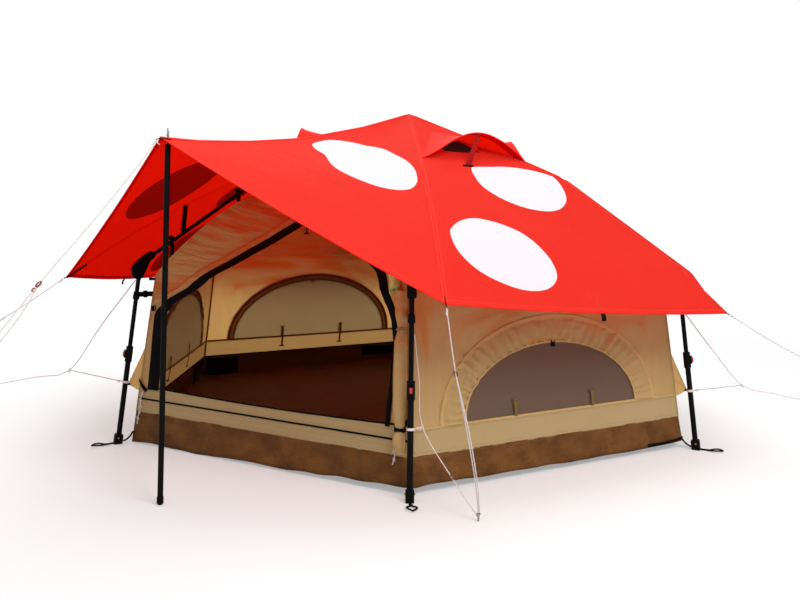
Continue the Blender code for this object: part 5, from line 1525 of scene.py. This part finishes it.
def inside():
    """What shows through the doorway: brown tapes round the windows, inner toggles, pockets and a lamp loop."""
    for angle in WINDOW_WALLS:
        tapes, dark, toggles, bars = (Shape() for _ in range(4))
        arch_strap(tapes, angle, WINDOW, 0.0, -0.0065, 0.018, 0.0024)
        arch_strap(tapes, angle, pane_size(angle), 0.01, -0.0062, 0.009, 0.0024)
        base = across_wall(WINDOW_BASE, share=0.992)
        tapes.strap([wall_place(angle, x, WINDOW_BASE, -0.0065) for x in base], 0.012, 0.0024)
        dark.strap([wall_place(angle, x * 1.008, RIM + 0.003, -0.0060) for x in base], 0.010, 0.0024)
        for along in TOGGLES:
            side = (wall_place(angle, along + 0.1, 0.3) - wall_place(angle, along, 0.3)).normalized()
            toggles.strap([wall_place(angle, along, 0.372 - 0.150 * v, -0.009 - 0.005 * sin(pi * v))
                           for v in even(8)], 0.016, 0.0026, side)
            foot = wall_place(angle, along, 0.221, -0.010)
            bars.tube([foot - side * 0.020, foot, foot + side * 0.020], 0.0045)
        finish(tapes, f"window_{angle}_inner_tape", INNER_TAPE)
        finish(dark, f"wall_{angle}_rim_tape", BLACK_WEBBING)
        finish(toggles, f"window_{angle}_inner_toggles", INNER_TAPE)
        finish(bars, f"window_{angle}_toggle_bars", NYLON_BLACK)
    pockets, lamp = Shape(), Shape()
    for angle, a0, a1, z0, z1 in POCKETS:
        pockets.grid([[wall_place(angle, a0 + (a1 - a0) * u, z0 + (z1 - z0) * v,
                                  -0.006 - 0.028 * sin(pi * u) * (0.25 + 0.75 * v)) for u in even(12)]
                      for v in even(6)])
    piece = cloth(pockets, "net_pockets", [POCKET_NET], thickness=0.0008)
    place = roof_place(150, 0.227, 0.317) - UP * 0.003
    lamp.strap([place, place - UP * 0.025, place - UP * 0.050], 0.012, 0.002, (0.5, 0.866, 0))
    bar = ((-0.010, -0.017, -0.051), (0, 0, -0.052), (0.010, 0.017, -0.051))
    lamp.tube([place + Vector(p) for p in bar], 0.004)
    finish(lamp, "lamp_loop", BLACK_WEBBING, "hub")


inside()


def wall_stitches():
    """Golden double rows round each window, and olive rows along the khaki band."""
    gold, rows = [], [(FRONT, z, 0.960) for z in (RIM + 0.012, RIM + 0.040, 0.232, 0.262, 0.292)]
    for angle in reversed(WINDOW_WALLS):
        rows = [(angle, z, 0.985) for z in (RIM + 0.014, WINDOW_BASE - 0.014)] + rows
    for angle in WINDOW_WALLS:
        gold += [arch_line(angle, size, grow, 0.0068, 120) for size, grow in (
            (WINDOW, -0.009), (WINDOW, 0.009), (pane_size(angle), 0.008))]
    olive = [[wall_place(angle, x, z, 0.0012) for x in across_wall(z, 60, share)] for angle, z, share in rows]
    stitches("window_stitches", gold, GOLD_THREAD, 0.012)
    stitches("band_stitches", olive, OLIVE_THREAD, 0.013)


wall_stitches()

# ---------------------------------------------------------------- stage

FLOOR_HALF, FLOOR_HEIGHT = 30, -0.0015
# place, size and power in watts
LAMPS = {"key": ((5.2, -3.4, 5.8), 3.5, 290), "fill": ((-5.5, -4.5, 3.5), 4.0, 22),
         "top": ((0.4, -0.3, 6.6), 4.0, 165), "back": ((-4.5, 4.5, 3.5), 4.0, 260)}


def seen_straight(tree):
    """1 where the eye looks straight at something or through a clear one, or else 0."""
    path = add_node(tree, "LightPath").outputs
    return add_node(tree, "Math", {"operation": "MAXIMUM"}, i0=path["Is Camera Ray"],
                    i1=path["Is Transmission Ray"])


def stage():
    """A plain pale floor that fades to the white background, and soft lamps from the upper right."""
    made, tree, shader = new_material("pale_floor", Roughness=0.9, Specular_IOR_Level=0.1, Base_Color="#D2D2D2")
    place = add_node(tree, "TexCoord").outputs["Object"]
    away = add_node(tree, "VectorMath", {"operation": "LENGTH"}, i0=place)
    fade = add_node(tree, "MapRange", {"interpolation_type": "SMOOTHSTEP"}, Value=away.outputs["Value"],
                    From_Min=2.3, From_Max=5.5)
    clear = seen_straight(tree)
    # near the tent the eye sees the lit floor, lifted towards white; far off it sees plain white
    lift = add_node(tree, "Math", {"operation": "MULTIPLY"}, i0=clear, i1=0.34)
    glow = add_node(tree, "Emission", Color="#FFFFFF", Strength=lift)
    near = add_node(tree, "AddShader", i0=shader, i1=glow)
    white = add_node(tree, "Emission", Color="#FFFFFF", Strength=1.0)
    far = add_node(tree, "Math", {"operation": "MULTIPLY"}, i0=fade, i1=clear)
    plug(tree.nodes["Material Output"], Surface=add_node(tree, "MixShader", i0=far, i1=near, i2=white))
    shape = Shape()
    shape.face([(x * FLOOR_HALF, y * FLOOR_HALF, FLOOR_HEIGHT)
                for x, y in ((-1, -1), (1, -1), (1, 1), (-1, 1))])
    shape.make("floor_plane", made)
    world = bpy.data.worlds.new("studio")
    bpy.context.scene.world = world
    world.use_nodes = True
    tree = world.node_tree
    level = add_node(tree, "Mix", {"data_type": "FLOAT"}, i0=seen_straight(tree), i2=0.42, i3=1.0)
    plug(tree.nodes["Background"], Color="#FFFFFF", Strength=level)
    for name, (place, size, watts) in LAMPS.items():
        data = bpy.data.lights.new(name, "AREA")
        data.size, data.energy = size, watts
        lamp = add_object(name, data)
        lamp.location = place
        lamp.rotation_euler = (Vector((0, 0, 0.8)) - Vector(place)).to_track_quat("-Z", "Y").to_euler()


stage()
bpy.context.scene.view_settings.view_transform = "Standard"
